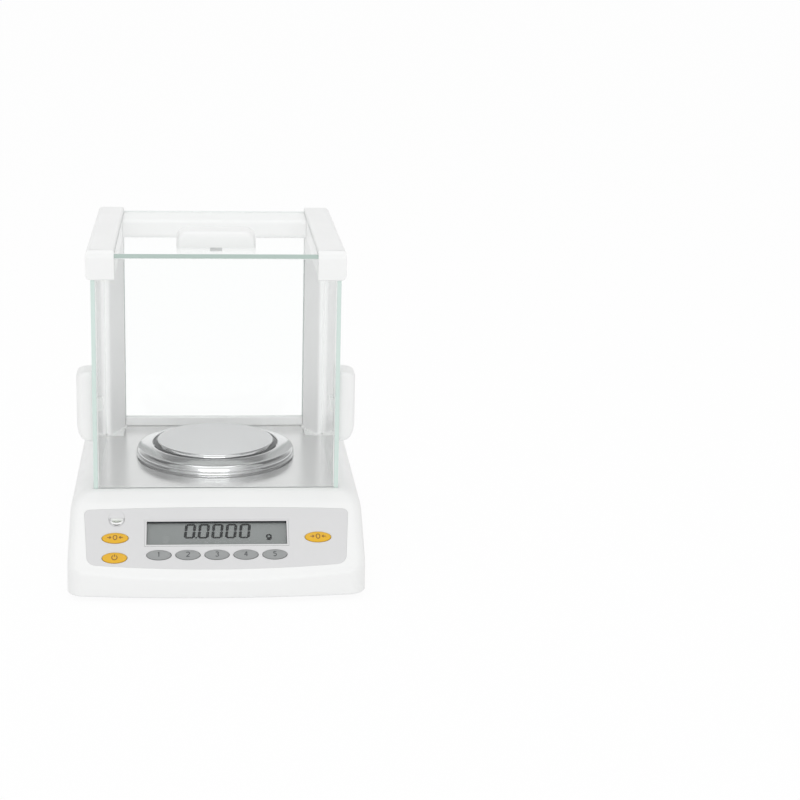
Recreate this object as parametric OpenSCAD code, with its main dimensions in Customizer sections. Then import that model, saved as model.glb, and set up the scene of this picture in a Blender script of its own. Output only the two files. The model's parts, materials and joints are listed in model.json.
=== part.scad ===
// Precision balance: white housing with a sloping control panel, and a glass draft shield over a round pan.
// Millimetres. Z is up, the front faces -Y, and the bench is at zero.

/* [Housing] */
// Width of the housing at its skirt
body_w = 230; // [220:1:245]
// Depth of the housing from the lip to the rear wall
body_d = 295; // [290:1:320]
// Height of the deck above the bench
deck_z = 69; // [66:1:76]
// Gap between the skirt and the bench
skirt_gap = 4; // [3:0.5:5]
// Wall of the moulded housing
wall = 3; // [2.5:0.1:3.5]
// How far the side walls lean in
draft = 1; // [0.5:0.5:3]
// Bow of the front lip
lip_bow = 7; // [4:1:9]
// Height of the front lip
lip_h = 20.4; // [18:0.2:24]
// Slope of the control panel
slope = 37; // [35:0.5:38]
// From the lip to the front pane
overhang = 73.3; // [72:0.1:76]

/* [Draft shield] */
// Thickness of every pane
glass_t = 3.3; // [3:0.1:4]
// From the deck to the top of the top pane
chamber_h = 188.5; // [170:0.5:215]
// Width of a top rail
rail_w = 22; // [20:0.5:24]
// Height of a top rail
rail_h = 23.5; // [20:0.5:26]
// Length of the top door's grip
grip_l = 62; // [50:1:70]
// Length of a side door's grip
side_grip_l = 57; // [50:1:70]
// Depth of a door grip
grip_d = 26; // [22:1:28]
// How far a door grip stands out
grip_h = 13; // [10:0.5:14]

/* [Pan] */
// Radius of the weighing pan
pan_r = 51.5; // [45:0.5:54]
// Height of the pan above the deck
pan_rise = 13.5; // [13:0.1:15]
// Radius of the shield disc
disc_r = 66; // [63:0.5:70]

/* [Control panel] */
// Width of the display opening
lcd_w = 108.6; // [96:0.2:112]
// Height of the display opening
lcd_h = 21.5; // [18:0.5:22]
// Length of a yellow key
zero_key_l = 21.5; // [18:0.5:23]
// Length of a grey key
fn_key_l = 20; // [16:0.5:20.5]
// Spacing of the grey keys
fn_pitch = 22.3; // [21.8:0.1:22.6]

/* [Hidden] */
$fn = 64;

eps = 0.01;
over = 1;
fit_gap = 0.3;
run_gap = 0.3;
slip = 0.1;
arc_n = 8;

// Lock lug
lug_reach = 9;
lug_t = 6;
lug_h = 12;
lug_bore_r = 2.5;
lug_bore_out = 4;
lug_in = 55;
lug_z = 42;
lug_flange = 3;

// Main planes
half_w = body_w / 2;
lug_x = lug_in - half_w;
lip_y = -(body_d + lug_reach) / 2;
rear_y = lip_y + body_d;
glass_y = lip_y + overhang;
brow_in = 17;
deck_in = 5;
brow_y = glass_y - brow_in;
brow_z = lip_h + (brow_y - lip_y) * tan(slope);
deck_y = glass_y - deck_in;
plan_front_r = 12;
plan_rear_r = 12;
lip_r = 6;
brow_r = 30;
deck_front_r = 12;
deck_rear_r = 8;
side_r = 12;
under_deck = deck_z - wall;

// Tray and feet
tray_rise = 1;
tray_t = 3;
tray_z = skirt_gap + tray_rise;
tray_top = tray_z + tray_t;
foot_r = 9;
front_foot_in = 27;
front_foot_back = 42;
front_foot_x = half_w - front_foot_in;
front_foot_y = lip_y + front_foot_back;
foot_in = 35;
foot_x = half_w - foot_in;
foot_wheel_r = 13;
foot_wheel_h = 7;
foot_travel = 3;
foot_y = rear_y - foot_wheel_r - over;
pad_h = 4.5;
pad_socket = 2.5;
wheel_lift = 1.5;
wheel_z = pad_h + wheel_lift;
screw_r = 3;
pocket_w = 46;
pocket_roof = wheel_z + foot_wheel_h + foot_travel + over;
pocket_roof_t = 4;
boss_r = 8;
boss_h = 13;
knurl_n = 36;
knurl_r = 0.9;

// Housing screws
post_r = 4.5;
post_in = 18;
post_front_in = 9;
post_rear_in = 62;
post_x = half_w - post_in;
post_front_y = glass_y + post_front_in;
post_rear_y = rear_y - post_rear_in;
post_pilot_r = 1.4;
shank_r = 1.2;
shank_pass_r = 1.7;
head_r = 2.75;
head_h = 1.8;
screw_bite = 8;

// Control panel, measured up the slope from the sharp edge of the lip
fascia_t = 1.2;
fascia_low = 8;
fascia_high = 65.8;
fascia_low_end = 12.7;
fascia_high_end = 63.8;
fascia_low_in = 15.7;
fascia_high_in = 11.7;
fascia_low_w = half_w - fascia_low_in;
fascia_high_w = half_w - fascia_high_in;
fascia_low_r = 8;
fascia_high_r = 4.5;
lcd_s = 41.7;
frame_rim = 1.2;
frame_depth = 6.4;
frame_flange = 2;
window_t = 1;
window_deep = 1.2;
lcd_gap = 0.3;
lcd_t = 2;
board_deep = 12;
board_t = 1.6;
board_in = 25;
board_w = body_w - 2 * board_in;
board_low = 14;
board_high = 62;
key_gap = 0.35;
key_proud = 1.2;
key_flange_t = 0.8;
key_flange = 1;
key_step = 0.4;
key_stem_r = 2;
key_travel = 1;
key_ratio = 0.5;
switch_w = 6;
switch_h = 1.8;
button_r = 1.6;
button_h = 0.6;
zero_in = 36.5;
zero_x = half_w - zero_in;
zero_s = 37.2;
power_s = 19;
fn_s = 21.3;
level_in = 37.3;
level_x = level_in - half_w;
level_s = 55.6;
level_y = lip_y + level_s * cos(slope);
level_z = lip_h + level_s * sin(slope);
level_r = 5.9;
level_wall = 0.6;
level_deep = 14;
level_low = level_z - level_deep;
level_drop = 2.1;
key_under = wall + fit_gap;
lcd_deep = window_deep + window_t + lcd_gap;
switch_top = board_deep - switch_h - button_h;

// Draft shield
door_edge = 18.2;
door_out = half_w - door_edge;
door_in = door_out - glass_t;
door_x = door_in + glass_t / 2;
top_z = deck_z + chamber_h;
top_under = top_z - glass_t;
rail_lip = 3;
rail_top = top_z + rail_lip;
rail_z = rail_top - rail_h;
rail_over = 3.7;
rail_out = door_out + rail_over;
rail_in = rail_out - rail_w;
rail_lead = 2.5;
rail_y = glass_y - rail_lead;
rail_set = 12.2;
rail_back = rear_y - rail_set;
rail_r = 4.5;
rail_inner_r = 1.5;
rail_lip_r = 2.4;
rail_front_r = 7;
groove_deep = 4;
door_short = 21.5;
door_len = rail_back - door_short - glass_y;
top_half = rail_in + groove_deep - fit_gap;
top_lead = 1;
top_front = glass_y - top_lead;
top_short = 6;
top_len = rail_back - top_short - top_front;
guide_w = 5;
guide_h = 2.2;
guide_floor = 0.5;
door_low = deck_z - guide_h + guide_floor + slip;
door_high = rail_z + groove_deep - fit_gap;
pillar_set = 4.5;
pillar_flat = 30;
pillar_slant = 23;
pillar_out = door_in - run_gap;
pillar_nose = 3.7;
pillar_rear = rail_back - pillar_set;
pillar_shoulder = pillar_rear - pillar_flat;
pillar_y = pillar_shoulder - pillar_slant;
pillar_r = 1.6;
pillar_nose_r = 5.6;
pillar_screw_in = 14;
pillar_screw_y = pillar_rear - pillar_screw_in;
pillar_screw_x = (rail_in + pillar_out) / 2;
hood_deep = 44.5;
hood_drop = 16.5;
hood_y = rail_back - hood_deep;
hood_z = top_under - hood_drop;
hood_top = top_under - fit_gap - slip;
hood_r = 4;
rear_pane_in = 19;
rear_pane_y = pillar_rear - rear_pane_in;
sill_w = 7;
sill_h = 8;
sill_groove = 4;
hood_groove = 3;
floor_t = 1.5;
floor_in = 2;
floor_half = door_in - floor_in;
floor_front = glass_y + glass_t + fit_gap;
floor_neck = pillar_y - over;
floor_rear = rear_pane_y - sill_w / 2 - fit_gap;

// Grips and clamps
grip_arch = 1.5;
grip_top_r = 6;
grip_crown_r = 220;
grip_edge_r = 5;
grip_bore = 8;
stud_r = 2.5;
stud_pass_r = 3;
clamp_w = 9.5;
clamp_t = 3.5;
side_grip_in = 4;
side_grip_up = 65.5;
top_grip_in = 27;
side_grip_y = glass_y + side_grip_in + grip_d / 2;
side_grip_z = deck_z + side_grip_up;
top_grip_y = glass_y + top_grip_in + grip_d / 2;

// Pan and shield disc
pan_back = 2.7;
pan_y = (glass_y + rear_pane_y) / 2 + pan_back;
pan_z = deck_z + pan_rise;
pan_t = 1.2;
pan_rim_r = 2.2;
pan_hub_r = 9;
pan_hub_h = 6;
spigot_r = 5;
spigot_short = 0.8;
spigot_top = pan_z - pan_t - spigot_short;
well_r = 19;
disc_hole_r = 17;
disc_t = 1;
disc_h = 11;
disc_dip_h = 7.2;
disc_gap = 1.1;
disc_step = 0.6;
disc_shoulder_w = 4.4;
disc_shoulder_h = 7.8;
disc_shoulder_r = 6;
disc_rim_h = 2;
disc_rim_w = 2;
disc_rim_fall = 0.5;
disc_fold_r = 0.6;
rim_low_r = 1.4;
rim_top_r = 2;

// Weighing cell, laid out along its length from the pan to the rear wall
cell_set = 6;
cell_len = rear_y - cell_set - pan_y;
cell_z = tray_top;
cell_plate_t = 8;
cell_half = 32;
cell_front_in = 14;
cell_front = pan_y - cell_front_in;
cell_rear = pan_y + cell_len;
pad_z = cell_z + cell_plate_t;
lower_guide_up = 4;
lower_guide_z = pad_z + lower_guide_up;
guide_t = 1.2;
guide_drop = 4.2;
upper_guide_z = under_deck - guide_drop;
guide_half = 24;
guide_front_in = 12;
guide_front = pan_y - guide_front_in;
column_y = pan_y + cell_len * 3 / 8;
column_d = cell_len / 6;
column_half = 30;
receiver_w = 20;
receiver_d = 14;
flex_gap = 0.4;
lever_z = 42;
lever_h = 8;
lever_w = 8;
lever_in = 4;
lever_front = pan_y + lever_in;
pivot_y = pan_y + cell_len * 11 / 60;
pivot_r = 2;
cheek_t = 6;
cheek_d = 10;
coil_y = pan_y + cell_len * 89 / 120;
coil_r = cell_len / 8;
coil_in = cell_len / 10;
coil_h = 10;
former_t = 2;
pot_r = cell_len * 23 / 120;
pot_h = 18;
pot_gap_in = cell_len / 12;
pot_gap_out = cell_len * 17 / 120;
pot_floor = 6;
vane_t = 1;
vane_h = 4;
fork_y = pan_y + cell_len * 29 / 30;
fork_w = 12;
fork_d = cell_len / 20;
fork_gap = 5;
lever_end = fork_y + fork_d / 3;

// Boards and sockets
main_gap = 8;
main_edge = 10;
main_clear = 1.5;
main_x0 = cell_half + main_gap;
main_x1 = half_w - main_edge;
main_y0 = post_front_y + post_r + main_clear;
main_y1 = post_rear_y - post_r - main_clear;
main_post_r = 3;
main_post_h = 6;
main_inset = 6;
main_z = tray_top + main_post_h;
connector_in = 17;
connector_edge = 14;
connector_y = rear_y - connector_in;
connector_x1 = half_w - connector_edge;
connector_z0 = 38;
connector_z1 = 63;
port_in = 49;
port_x = half_w - port_in;
port_z = 50;
port_w = 39;
port_h = 10.5;
port_flange_w = 54;
port_flange_h = 12.5;
port_flange_t = 2;
port_r = 2;
port_lean = 2;
port_proud = 4;
port_screw_pitch = 47.04;
port_nut_r = 2.75;
port_nut_bore = 1.42;
port_nut_l = 6;
jack_in = 87;
jack_x = half_w - jack_in;
jack_r = 4.5;
jack_bore_r = 3.1;
jack_pin_r = 1.05;
jack_bore_deep = 9;
jack_body = 12;
jack_pin_short = 1;
jack_side = 4;
connector_x0 = jack_x - jack_body / 2 - jack_side;

function unit(v) = v / norm(v);

// The round corner at p, between its neighbours a and b
function corner(a, p, b, r, n) =
  let(
    ua = unit(a - p),
    ub = unit(b - p),
    half = acos(ua * ub) / 2,
    centre = p + unit(ua + ub) * r / sin(half),
    start = p + ua * r / tan(half) - centre,
    end = p + ub * r / tan(half) - centre,
    from = atan2(start.y, start.x),
    turn = (atan2(end.y, end.x) - from + 540) % 360 - 180
  )
  [for (i = [0 : n]) centre + r * [cos(from + turn * i / n), sin(from + turn * i / n)]];

function flat(p) = [p.x, p.y];

// An outline of [x, y, corner radius] entries as points
function fillets(pts, n = arc_n) =
  let(c = len(pts))
  [
    for (i = [0 : c - 1])
      each pts[i][2] > 0
        ? corner(flat(pts[(i + c - 1) % c]), flat(pts[i]), flat(pts[(i + 1) % c]), pts[i][2], n)
        : [flat(pts[i])]
  ];

// A convex outline moved in by d, or out where d is negative
function inset(pts, d) =
  let(c = len(pts))
  [
    for (i = [0 : c - 1])
      let(
        p = flat(pts[i]),
        ua = unit(flat(pts[(i + c - 1) % c]) - p),
        ub = unit(flat(pts[(i + 1) % c]) - p),
        q = p + unit(ua + ub) * d / sin(acos(ua * ub) / 2)
      )
      [q.x, q.y, max(pts[i][2] - d, 0)]
  ];

// Outlines of the housing
bow_n = 5;
plan_pts = [
  for (i = [-bow_n : bow_n])
    [half_w * i / bow_n, lip_y + lip_bow * pow(i / bow_n, 2), abs(i) == bow_n ? plan_front_r : 0],
  [half_w, rear_y, plan_rear_r],
  [-half_w, rear_y, plan_rear_r]
];

function side_pts(low) = [
  [lip_y, low, 0],
  [lip_y, lip_h, lip_r],
  [brow_y, brow_z, brow_r],
  [deck_y, deck_z, deck_front_r],
  [rear_y, deck_z, deck_rear_r],
  [rear_y, low, 0]
];

function cross_pts(low) = [
  [-half_w, low, 0],
  [-half_w + draft, deck_z, side_r],
  [half_w - draft, deck_z, side_r],
  [half_w, low, 0]
];

// Outline of the fascia, up the slope
sag_n = 4;
fascia_pts = [
  for (i = [-sag_n : sag_n])
    [
      fascia_low_w * i / sag_n,
      fascia_low + (fascia_low_end - fascia_low) * pow(i / sag_n, 2),
      abs(i) == sag_n ? fascia_low_r : 0
    ],
  for (i = [sag_n : -1 : -sag_n])
    [
      fascia_high_w * i / sag_n,
      fascia_high + (fascia_high_end - fascia_high) * pow(i / sag_n, 2),
      abs(i) == sag_n ? fascia_high_r : 0
    ]
];

// Keys: place across, place up the slope, length
KEYS = [
  [-zero_x, zero_s, zero_key_l],
  [-zero_x, power_s, zero_key_l],
  [zero_x, zero_s, zero_key_l],
  for (i = [-2 : 2]) [fn_pitch * i, fn_s, fn_key_l]
];

function ellipse(length, grow) =
  [for (a = [0 : 9 : 351]) [(length / 2 + grow) * cos(a), (length * key_ratio / 2 + grow) * sin(a)]];

module on_panel() {
  translate([0, lip_y, lip_h])
    rotate([slope, 0, 0])
      children();
}

module along_x(length) {
  rotate([90, 0, 90])
    linear_extrude(length, center = true)
      children();
}

// The housing as a solid block, moved in by d on every side and open below
module block(low, d) {
  intersection() {
    translate([0, 0, low - over])
      linear_extrude(deck_z - low + 2 * over)
        polygon(fillets(inset(plan_pts, d)));
    along_x(body_w + 2 * over)
      polygon(fillets(inset(side_pts(low - d), d)));
    rotate([90, 0, 0])
      linear_extrude(2 * body_d, center = true)
        polygon(fillets(inset(cross_pts(low - d), d)));
  }
}

module box_at(x0, x1, y0, y1, z0, z1) {
  translate([x0, y0, z0])
    cube([x1 - x0, y1 - y0, z1 - z0]);
}

module posts(r, z0, z1) {
  for (x = [-post_x, post_x], y = [post_front_y, post_rear_y])
    translate([x, y, z0])
      cylinder(r = r, h = z1 - z0);
}

module base_tray() {
  color("dimgray")
    difference() {
      union() {
        translate([0, 0, tray_z])
          linear_extrude(tray_t)
            polygon(fillets(inset(plan_pts, wall + fit_gap + draft)));
        for (x = [-foot_x, foot_x]) {
          box_at(x - pocket_w / 2, x + pocket_w / 2, foot_y - pocket_w / 2, rear_y - wall - fit_gap - draft,
            tray_z, pocket_roof + pocket_roof_t);
          translate([x, foot_y, pocket_roof])
            cylinder(r = boss_r, h = pocket_roof_t + boss_h);
        }
        for (
          x = [main_x0 + main_inset, main_x1 - main_inset],
          y = [main_y0 + main_inset, main_y1 - main_inset]
        )
          translate([x, y, tray_z])
            cylinder(r = main_post_r, h = main_z - tray_z);
      }
      for (x = [-foot_x, foot_x]) {
        box_at(
          x - pocket_w / 2 + wall, x + pocket_w / 2 - wall,
          foot_y - pocket_w / 2 + wall, rear_y + over,
          tray_z - over, pocket_roof
        );
        translate([x, foot_y, 0])
          cylinder(r = screw_r + slip, h = deck_z);
      }
      posts(shank_pass_r, tray_z - over, tray_top + over);
    }
}

module upper_housing() {
  color("whitesmoke")
    difference() {
      union() {
        difference() {
          block(skirt_gap, 0);
          block(skirt_gap - over, wall);
        }
        posts(post_r, tray_top, under_deck + eps);
        for (side = [-1, 1])
          translate([side * door_x - guide_w, floor_front, under_deck - wall])
            cube([2 * guide_w, rear_y - wall - floor_front + eps, wall + eps]);
      }
      posts(post_pilot_r, tray_top - over, tray_top + screw_bite + over);
      on_panel() {
        translate([0, 0, -fascia_t])
          linear_extrude(deck_z)
            polygon(fillets(inset(fascia_pts, -fit_gap)));
        translate([-lcd_w / 2 - frame_rim - fit_gap, lcd_s - lcd_h / 2 - frame_rim - fit_gap, -deck_z / 2])
          cube([lcd_w + 2 * (frame_rim + fit_gap), lcd_h + 2 * (frame_rim + fit_gap), deck_z]);
        for (k = KEYS)
          translate([k[0], k[1], -deck_z / 2])
            linear_extrude(deck_z)
              polygon(ellipse(k[2], key_gap));
      }
      level_post(level_r + fit_gap, level_low, deck_z);
      translate([0, 0, deck_z - floor_t])
        linear_extrude(deck_z)
          polygon(floor_outline(fit_gap));
      translate([0, pan_y, under_deck - over])
        cylinder(r = well_r, h = deck_z);
      for (side = [-1, 1])
        translate([side * door_x - guide_w / 2 - slip, glass_y - fit_gap, deck_z - guide_h])
          cube([guide_w + 2 * slip, body_d, guide_h + over]);
      pillar_holes(shank_pass_r, under_deck - over, deck_z + over);
      for (x = [-foot_x, foot_x])
        box_at(
          x - pocket_w / 2, x + pocket_w / 2,
          rear_y - 2 * wall, rear_y + over,
          0, pocket_roof + pocket_roof_t + fit_gap
        );
      box_at(port_x - port_w / 2 - fit_gap, port_x + port_w / 2 + fit_gap, rear_y - 2 * wall, rear_y + over,
        port_z - port_h / 2 - fit_gap, port_z + port_h / 2 + fit_gap);
      for (side = [-1, 1])
        translate([port_x + side * port_screw_pitch / 2, rear_y - 2 * wall, port_z])
          rotate([-90, 0, 0])
            cylinder(r = port_nut_r + fit_gap, h = 3 * wall);
      translate([jack_x, rear_y - 2 * wall, port_z])
        rotate([-90, 0, 0])
          cylinder(r = jack_r + fit_gap, h = 3 * wall);
      box_at(lug_x - lug_t / 2 - slip, lug_x + lug_t / 2 + slip, rear_y - 2 * wall, rear_y + over,
        lug_z - lug_h / 2 - slip, lug_z + lug_h / 2 + slip);
    }
}

module housing_screws() {
  color("silver") {
    posts(head_r, tray_z - head_h, tray_z);
    posts(shank_r, tray_z - eps, tray_top + screw_bite);
  }
}

module front_feet() {
  color("black")
    for (x = [-front_foot_x, front_foot_x])
      translate([x, front_foot_y, 0])
        cylinder(r = foot_r, h = tray_z);
}

module lock_lug() {
  color("silver")
    difference() {
      union() {
        box_at(
          lug_x - lug_t / 2, lug_x + lug_t / 2,
          rear_y - wall - lug_flange, rear_y + lug_reach - lug_h / 2,
          lug_z - lug_h / 2, lug_z + lug_h / 2
        );
        translate([lug_x, rear_y + lug_reach - lug_h / 2, lug_z])
          rotate([0, 90, 0])
            cylinder(r = lug_h / 2, h = lug_t, center = true);
        box_at(
          lug_x - lug_t / 2 - lug_flange, lug_x + lug_t / 2 + lug_flange,
          rear_y - wall - lug_flange, rear_y - wall,
          lug_z - lug_h / 2, lug_z + lug_h / 2
        );
      }
      translate([lug_x, rear_y + lug_bore_out, lug_z])
        rotate([0, 90, 0])
          cylinder(r = lug_bore_r, h = body_w, center = true);
    }
}

module foot_pad(x) {
  translate([x, foot_y, 0])
    difference() {
      cylinder(r = foot_r, h = pad_h);
      translate([0, 0, pad_h - pad_socket])
        cylinder(r = screw_r + slip, h = pad_h);
    }
}

module foot_pad_left() {
  color("black")
    foot_pad(-foot_x);
}

module foot_pad_right() {
  color("black")
    foot_pad(foot_x);
}

module foot_screw(x) {
  translate([x, foot_y, 0]) {
    translate([0, 0, pad_h - pad_socket])
      cylinder(r = screw_r, h = pocket_roof + pocket_roof_t + boss_h - pad_h + pad_socket - foot_travel);
    difference() {
      translate([0, 0, wheel_z])
        cylinder(r = foot_wheel_r, h = foot_wheel_h);
      for (i = [0 : knurl_n - 1])
        rotate(360 * i / knurl_n)
          translate([foot_wheel_r + knurl_r / 3, 0, wheel_z - over])
            cylinder(r = knurl_r, h = foot_wheel_h + 2 * over);
    }
  }
}

module foot_screw_left() {
  color("gray")
    foot_screw(-foot_x);
}

module foot_screw_right() {
  color("gray")
    foot_screw(foot_x);
}

module control_fascia() {
  color("lightgray")
    difference() {
      on_panel()
        difference() {
          translate([0, 0, -fascia_t])
            linear_extrude(fascia_t)
              polygon(fillets(fascia_pts));
          translate([-lcd_w / 2 - frame_rim - fit_gap, lcd_s - lcd_h / 2 - frame_rim - fit_gap, -wall])
            cube([lcd_w + 2 * (frame_rim + fit_gap), lcd_h + 2 * (frame_rim + fit_gap), 2 * wall]);
          for (k = KEYS)
            translate([k[0], k[1], -wall])
              linear_extrude(2 * wall)
                polygon(ellipse(k[2], key_gap));
        }
      level_post(level_r + fit_gap, level_low, deck_z);
    }
}

module panel_plate(grow, top, t) {
  translate([-lcd_w / 2 - grow, lcd_s - lcd_h / 2 - grow, top - t])
    cube([lcd_w + 2 * grow, lcd_h + 2 * grow, t]);
}

module display_frame() {
  color("black")
    on_panel()
      difference() {
        union() {
          panel_plate(frame_rim, -fit_gap, frame_depth);
          panel_plate(frame_rim + frame_flange, -key_under, frame_depth + fit_gap - key_under);
        }
        panel_plate(0, over, frame_depth + 3 * over);
      }
}

module display_window() {
  color("aliceblue")
    on_panel()
      panel_plate(-slip, -window_deep, window_t);
}

module lcd_cell() {
  color("darkseagreen")
    on_panel()
      panel_plate(-slip, -lcd_deep, lcd_t);
}

module key_board() {
  color("darkgreen")
    difference() {
      on_panel() {
        translate([-board_w / 2, board_low, -board_deep - board_t])
          cube([board_w, board_high - board_low, board_t]);
        for (x = [-lcd_w / 2 + wall, lcd_w / 2 - 2 * wall])
          translate([x, lcd_s, -board_deep])
            cube([wall, wall, board_deep - lcd_deep - lcd_t]);
      }
      level_post(level_r + key_flange + over, 0, deck_z);
    }
}

module key_switches() {
  color("black")
    on_panel()
      for (k = KEYS)
        translate([k[0], k[1], -board_deep]) {
          translate([-switch_w / 2, -switch_w / 2, 0])
            cube([switch_w, switch_w, switch_h]);
          translate([0, 0, switch_h - eps])
            cylinder(r = button_r, h = button_h);
        }
}

// The space under the control panel, from a height off its face
module under_panel(out) {
  on_panel()
    translate([-half_w, 0, out - deck_z])
      cube([body_w, body_d / 2, deck_z]);
}

// Upright, so that its bubble reads true on the slope
module level_post(r, low, high) {
  translate([level_x, level_y, low])
    cylinder(r = r, h = high - low);
}

module level_cup() {
  color("gainsboro")
    difference() {
      union() {
        intersection() {
          level_post(level_r, level_low, deck_z);
          under_panel(0);
        }
        intersection() {
          level_post(level_r + key_flange, level_low, deck_z);
          under_panel(-key_under);
          box_at(-half_w, 0, level_y, glass_y, 0, deck_z);
        }
      }
      level_post(level_r - level_wall, level_low + level_wall, 2 * deck_z);
    }
}

module level_vial() {
  color("honeydew")
    level_post(level_r - level_wall - slip, level_low + level_wall, level_z - level_drop);
}

module key_cap(i) {
  k = KEYS[i];
  on_panel()
    translate([k[0], k[1], 0]) {
      translate([0, 0, -key_under])
        linear_extrude(key_under + key_proud - key_step)
          polygon(ellipse(k[2], 0));
      translate([0, 0, key_proud - key_step - eps])
        linear_extrude(key_step)
          polygon(ellipse(k[2], -key_step));
      translate([0, 0, -key_under - key_flange_t])
        linear_extrude(key_flange_t)
          polygon(ellipse(k[2], key_flange));
      translate([0, 0, -switch_top + key_travel + slip])
        cylinder(r = key_stem_r, h = switch_top - key_travel - slip - key_under);
    }
}

module key_zero_left() {
  color("goldenrod")
    key_cap(0);
}

module key_power() {
  color("goldenrod")
    key_cap(1);
}

module key_zero_right() {
  color("goldenrod")
    key_cap(2);
}

module key_1() {
  color("darkgray")
    key_cap(3);
}

module key_2() {
  color("darkgray")
    key_cap(4);
}

module key_3() {
  color("darkgray")
    key_cap(5);
}

module key_4() {
  color("darkgray")
    key_cap(6);
}

module key_5() {
  color("darkgray")
    key_cap(7);
}

function floor_outline(grow) =
  let(w = floor_half + grow, n = rail_in - run_gap + grow)
  [
    [-w, floor_front - grow],
    [w, floor_front - grow],
    [w, floor_neck + grow],
    [n, floor_neck + grow],
    [n, floor_rear + grow],
    [-n, floor_rear + grow],
    [-n, floor_neck + grow],
    [-w, floor_neck + grow]
  ];

module chamber_floor() {
  color("lightgray")
    difference() {
      translate([0, 0, deck_z - floor_t])
        linear_extrude(floor_t)
          polygon(floor_outline(0));
      translate([0, pan_y, under_deck])
        cylinder(r = well_r - over, h = 2 * wall);
    }
}

module front_glass() {
  color("lightcyan")
    box_at(-door_in + run_gap, door_in - run_gap, glass_y, glass_y + glass_t, deck_z, top_under - fit_gap);
}

module rear_glass() {
  color("lightcyan")
    box_at(-rail_in + fit_gap, rail_in - fit_gap, rear_pane_y - glass_t / 2, rear_pane_y + glass_t / 2,
      deck_z + sill_h - sill_groove, hood_z + hood_groove - fit_gap);
}

module rear_sill() {
  color("whitesmoke")
    difference() {
      box_at(
        -rail_in + slip, rail_in - slip,
        rear_pane_y - sill_w / 2, rear_pane_y + sill_w / 2,
        deck_z, deck_z + sill_h
      );
      box_at(
        -rail_in - over, rail_in + over,
        rear_pane_y - glass_t / 2 - slip, rear_pane_y + glass_t / 2 + slip,
        deck_z + sill_h - sill_groove, deck_z + 2 * sill_h
      );
    }
}

module door_guides() {
  color("gainsboro")
    for (side = [-1, 1])
      difference() {
        translate([side * door_x - guide_w / 2, glass_y, deck_z - guide_h])
          cube([guide_w, rear_y - deck_rear_r - glass_y, guide_h]);
        translate([side * door_x - glass_t / 2 - fit_gap, glass_y - over, deck_z - guide_h + guide_floor])
          cube([glass_t + 2 * fit_gap, body_d, guide_h]);
      }
}

module pillar() {
  translate([0, 0, deck_z])
    linear_extrude(rail_z - deck_z)
      polygon(fillets([
        [rail_in, pillar_shoulder, pillar_r],
        [pillar_out - pillar_nose, pillar_y, pillar_nose_r],
        [pillar_out, pillar_y, 0],
        [pillar_out, pillar_rear, pillar_r],
        [rail_in, pillar_rear, pillar_r]
      ]));
}

module pillar_holes(r, z0, z1) {
  for (side = [-1, 1])
    translate([side * pillar_screw_x, pillar_screw_y, z0])
      cylinder(r = r, h = z1 - z0);
}

module right_pillar() {
  color("gainsboro")
    difference() {
      pillar();
      pillar_holes(post_pilot_r, deck_z - over, deck_z + 2 * screw_bite);
    }
}

module left_pillar() {
  color("gainsboro")
    difference() {
      mirror([1, 0, 0])
        pillar();
      pillar_holes(post_pilot_r, deck_z - over, deck_z + 2 * screw_bite);
    }
}

module pillar_screws() {
  color("silver") {
    pillar_holes(head_r, under_deck - head_h, under_deck);
    pillar_holes(shank_r, under_deck - eps, deck_z + screw_bite);
  }
}

module rail() {
  difference() {
    intersection() {
      translate([0, rail_back, 0])
        rotate([90, 0, 0])
          linear_extrude(rail_back - rail_y)
            polygon(fillets([
              [rail_in, rail_z, rail_inner_r],
              [rail_out, rail_z, rail_r],
              [rail_out, rail_top, rail_r],
              [rail_in, rail_top, rail_lip_r]
            ]));
      translate([rail_in + rail_w / 2, 0, 0])
        along_x(rail_w + 2 * over)
          polygon(fillets([
            [rail_y, rail_z, rail_inner_r],
            [rail_back, rail_z, rail_inner_r],
            [rail_back, rail_top, rail_r],
            [rail_y, rail_top, rail_front_r]
          ]));
    }
    box_at(rail_in - over, door_in, glass_y - slip, glass_y + glass_t + slip, rail_z - over, top_under);
    box_at(
      door_in - fit_gap, door_out + fit_gap,
      glass_y - slip, rail_back + over,
      rail_z - over, rail_z + groove_deep
    );
    box_at(
      rail_in - over, rail_in + groove_deep,
      top_front - slip, rail_back + over,
      top_under - slip, top_z + slip
    );
  }
}

module right_rail() {
  color("whitesmoke")
    rail();
}

module left_rail() {
  color("whitesmoke")
    mirror([1, 0, 0])
      rail();
}

module rear_hood() {
  color("whitesmoke")
    difference() {
      along_x(2 * rail_in)
        polygon(fillets([
          [hood_y, hood_z, hood_r],
          [rail_back, hood_z, 0],
          [rail_back, hood_top, 0],
          [hood_y, hood_top, hood_r]
        ]));
      box_at(
        -rail_in - over, rail_in + over,
        rear_pane_y - glass_t / 2 - slip, rear_pane_y + glass_t / 2 + slip,
        hood_z - over, hood_z + hood_groove
      );
    }
}

// Places a grip's own frame, with its length across and its top outward, on the outer face of a pane
module on_left_door() {
  translate([-door_out, side_grip_y, side_grip_z])
    rotate([0, -90, 0])
      children();
}

module on_right_door() {
  translate([door_out, side_grip_y, side_grip_z])
    rotate([0, 90, 0])
      children();
}

module on_top_pane() {
  translate([0, top_grip_y, top_z])
    children();
}

module stud_hole() {
  translate([0, 0, -glass_t - over])
    cylinder(r = stud_pass_r, h = glass_t + 2 * over);
}

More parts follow.
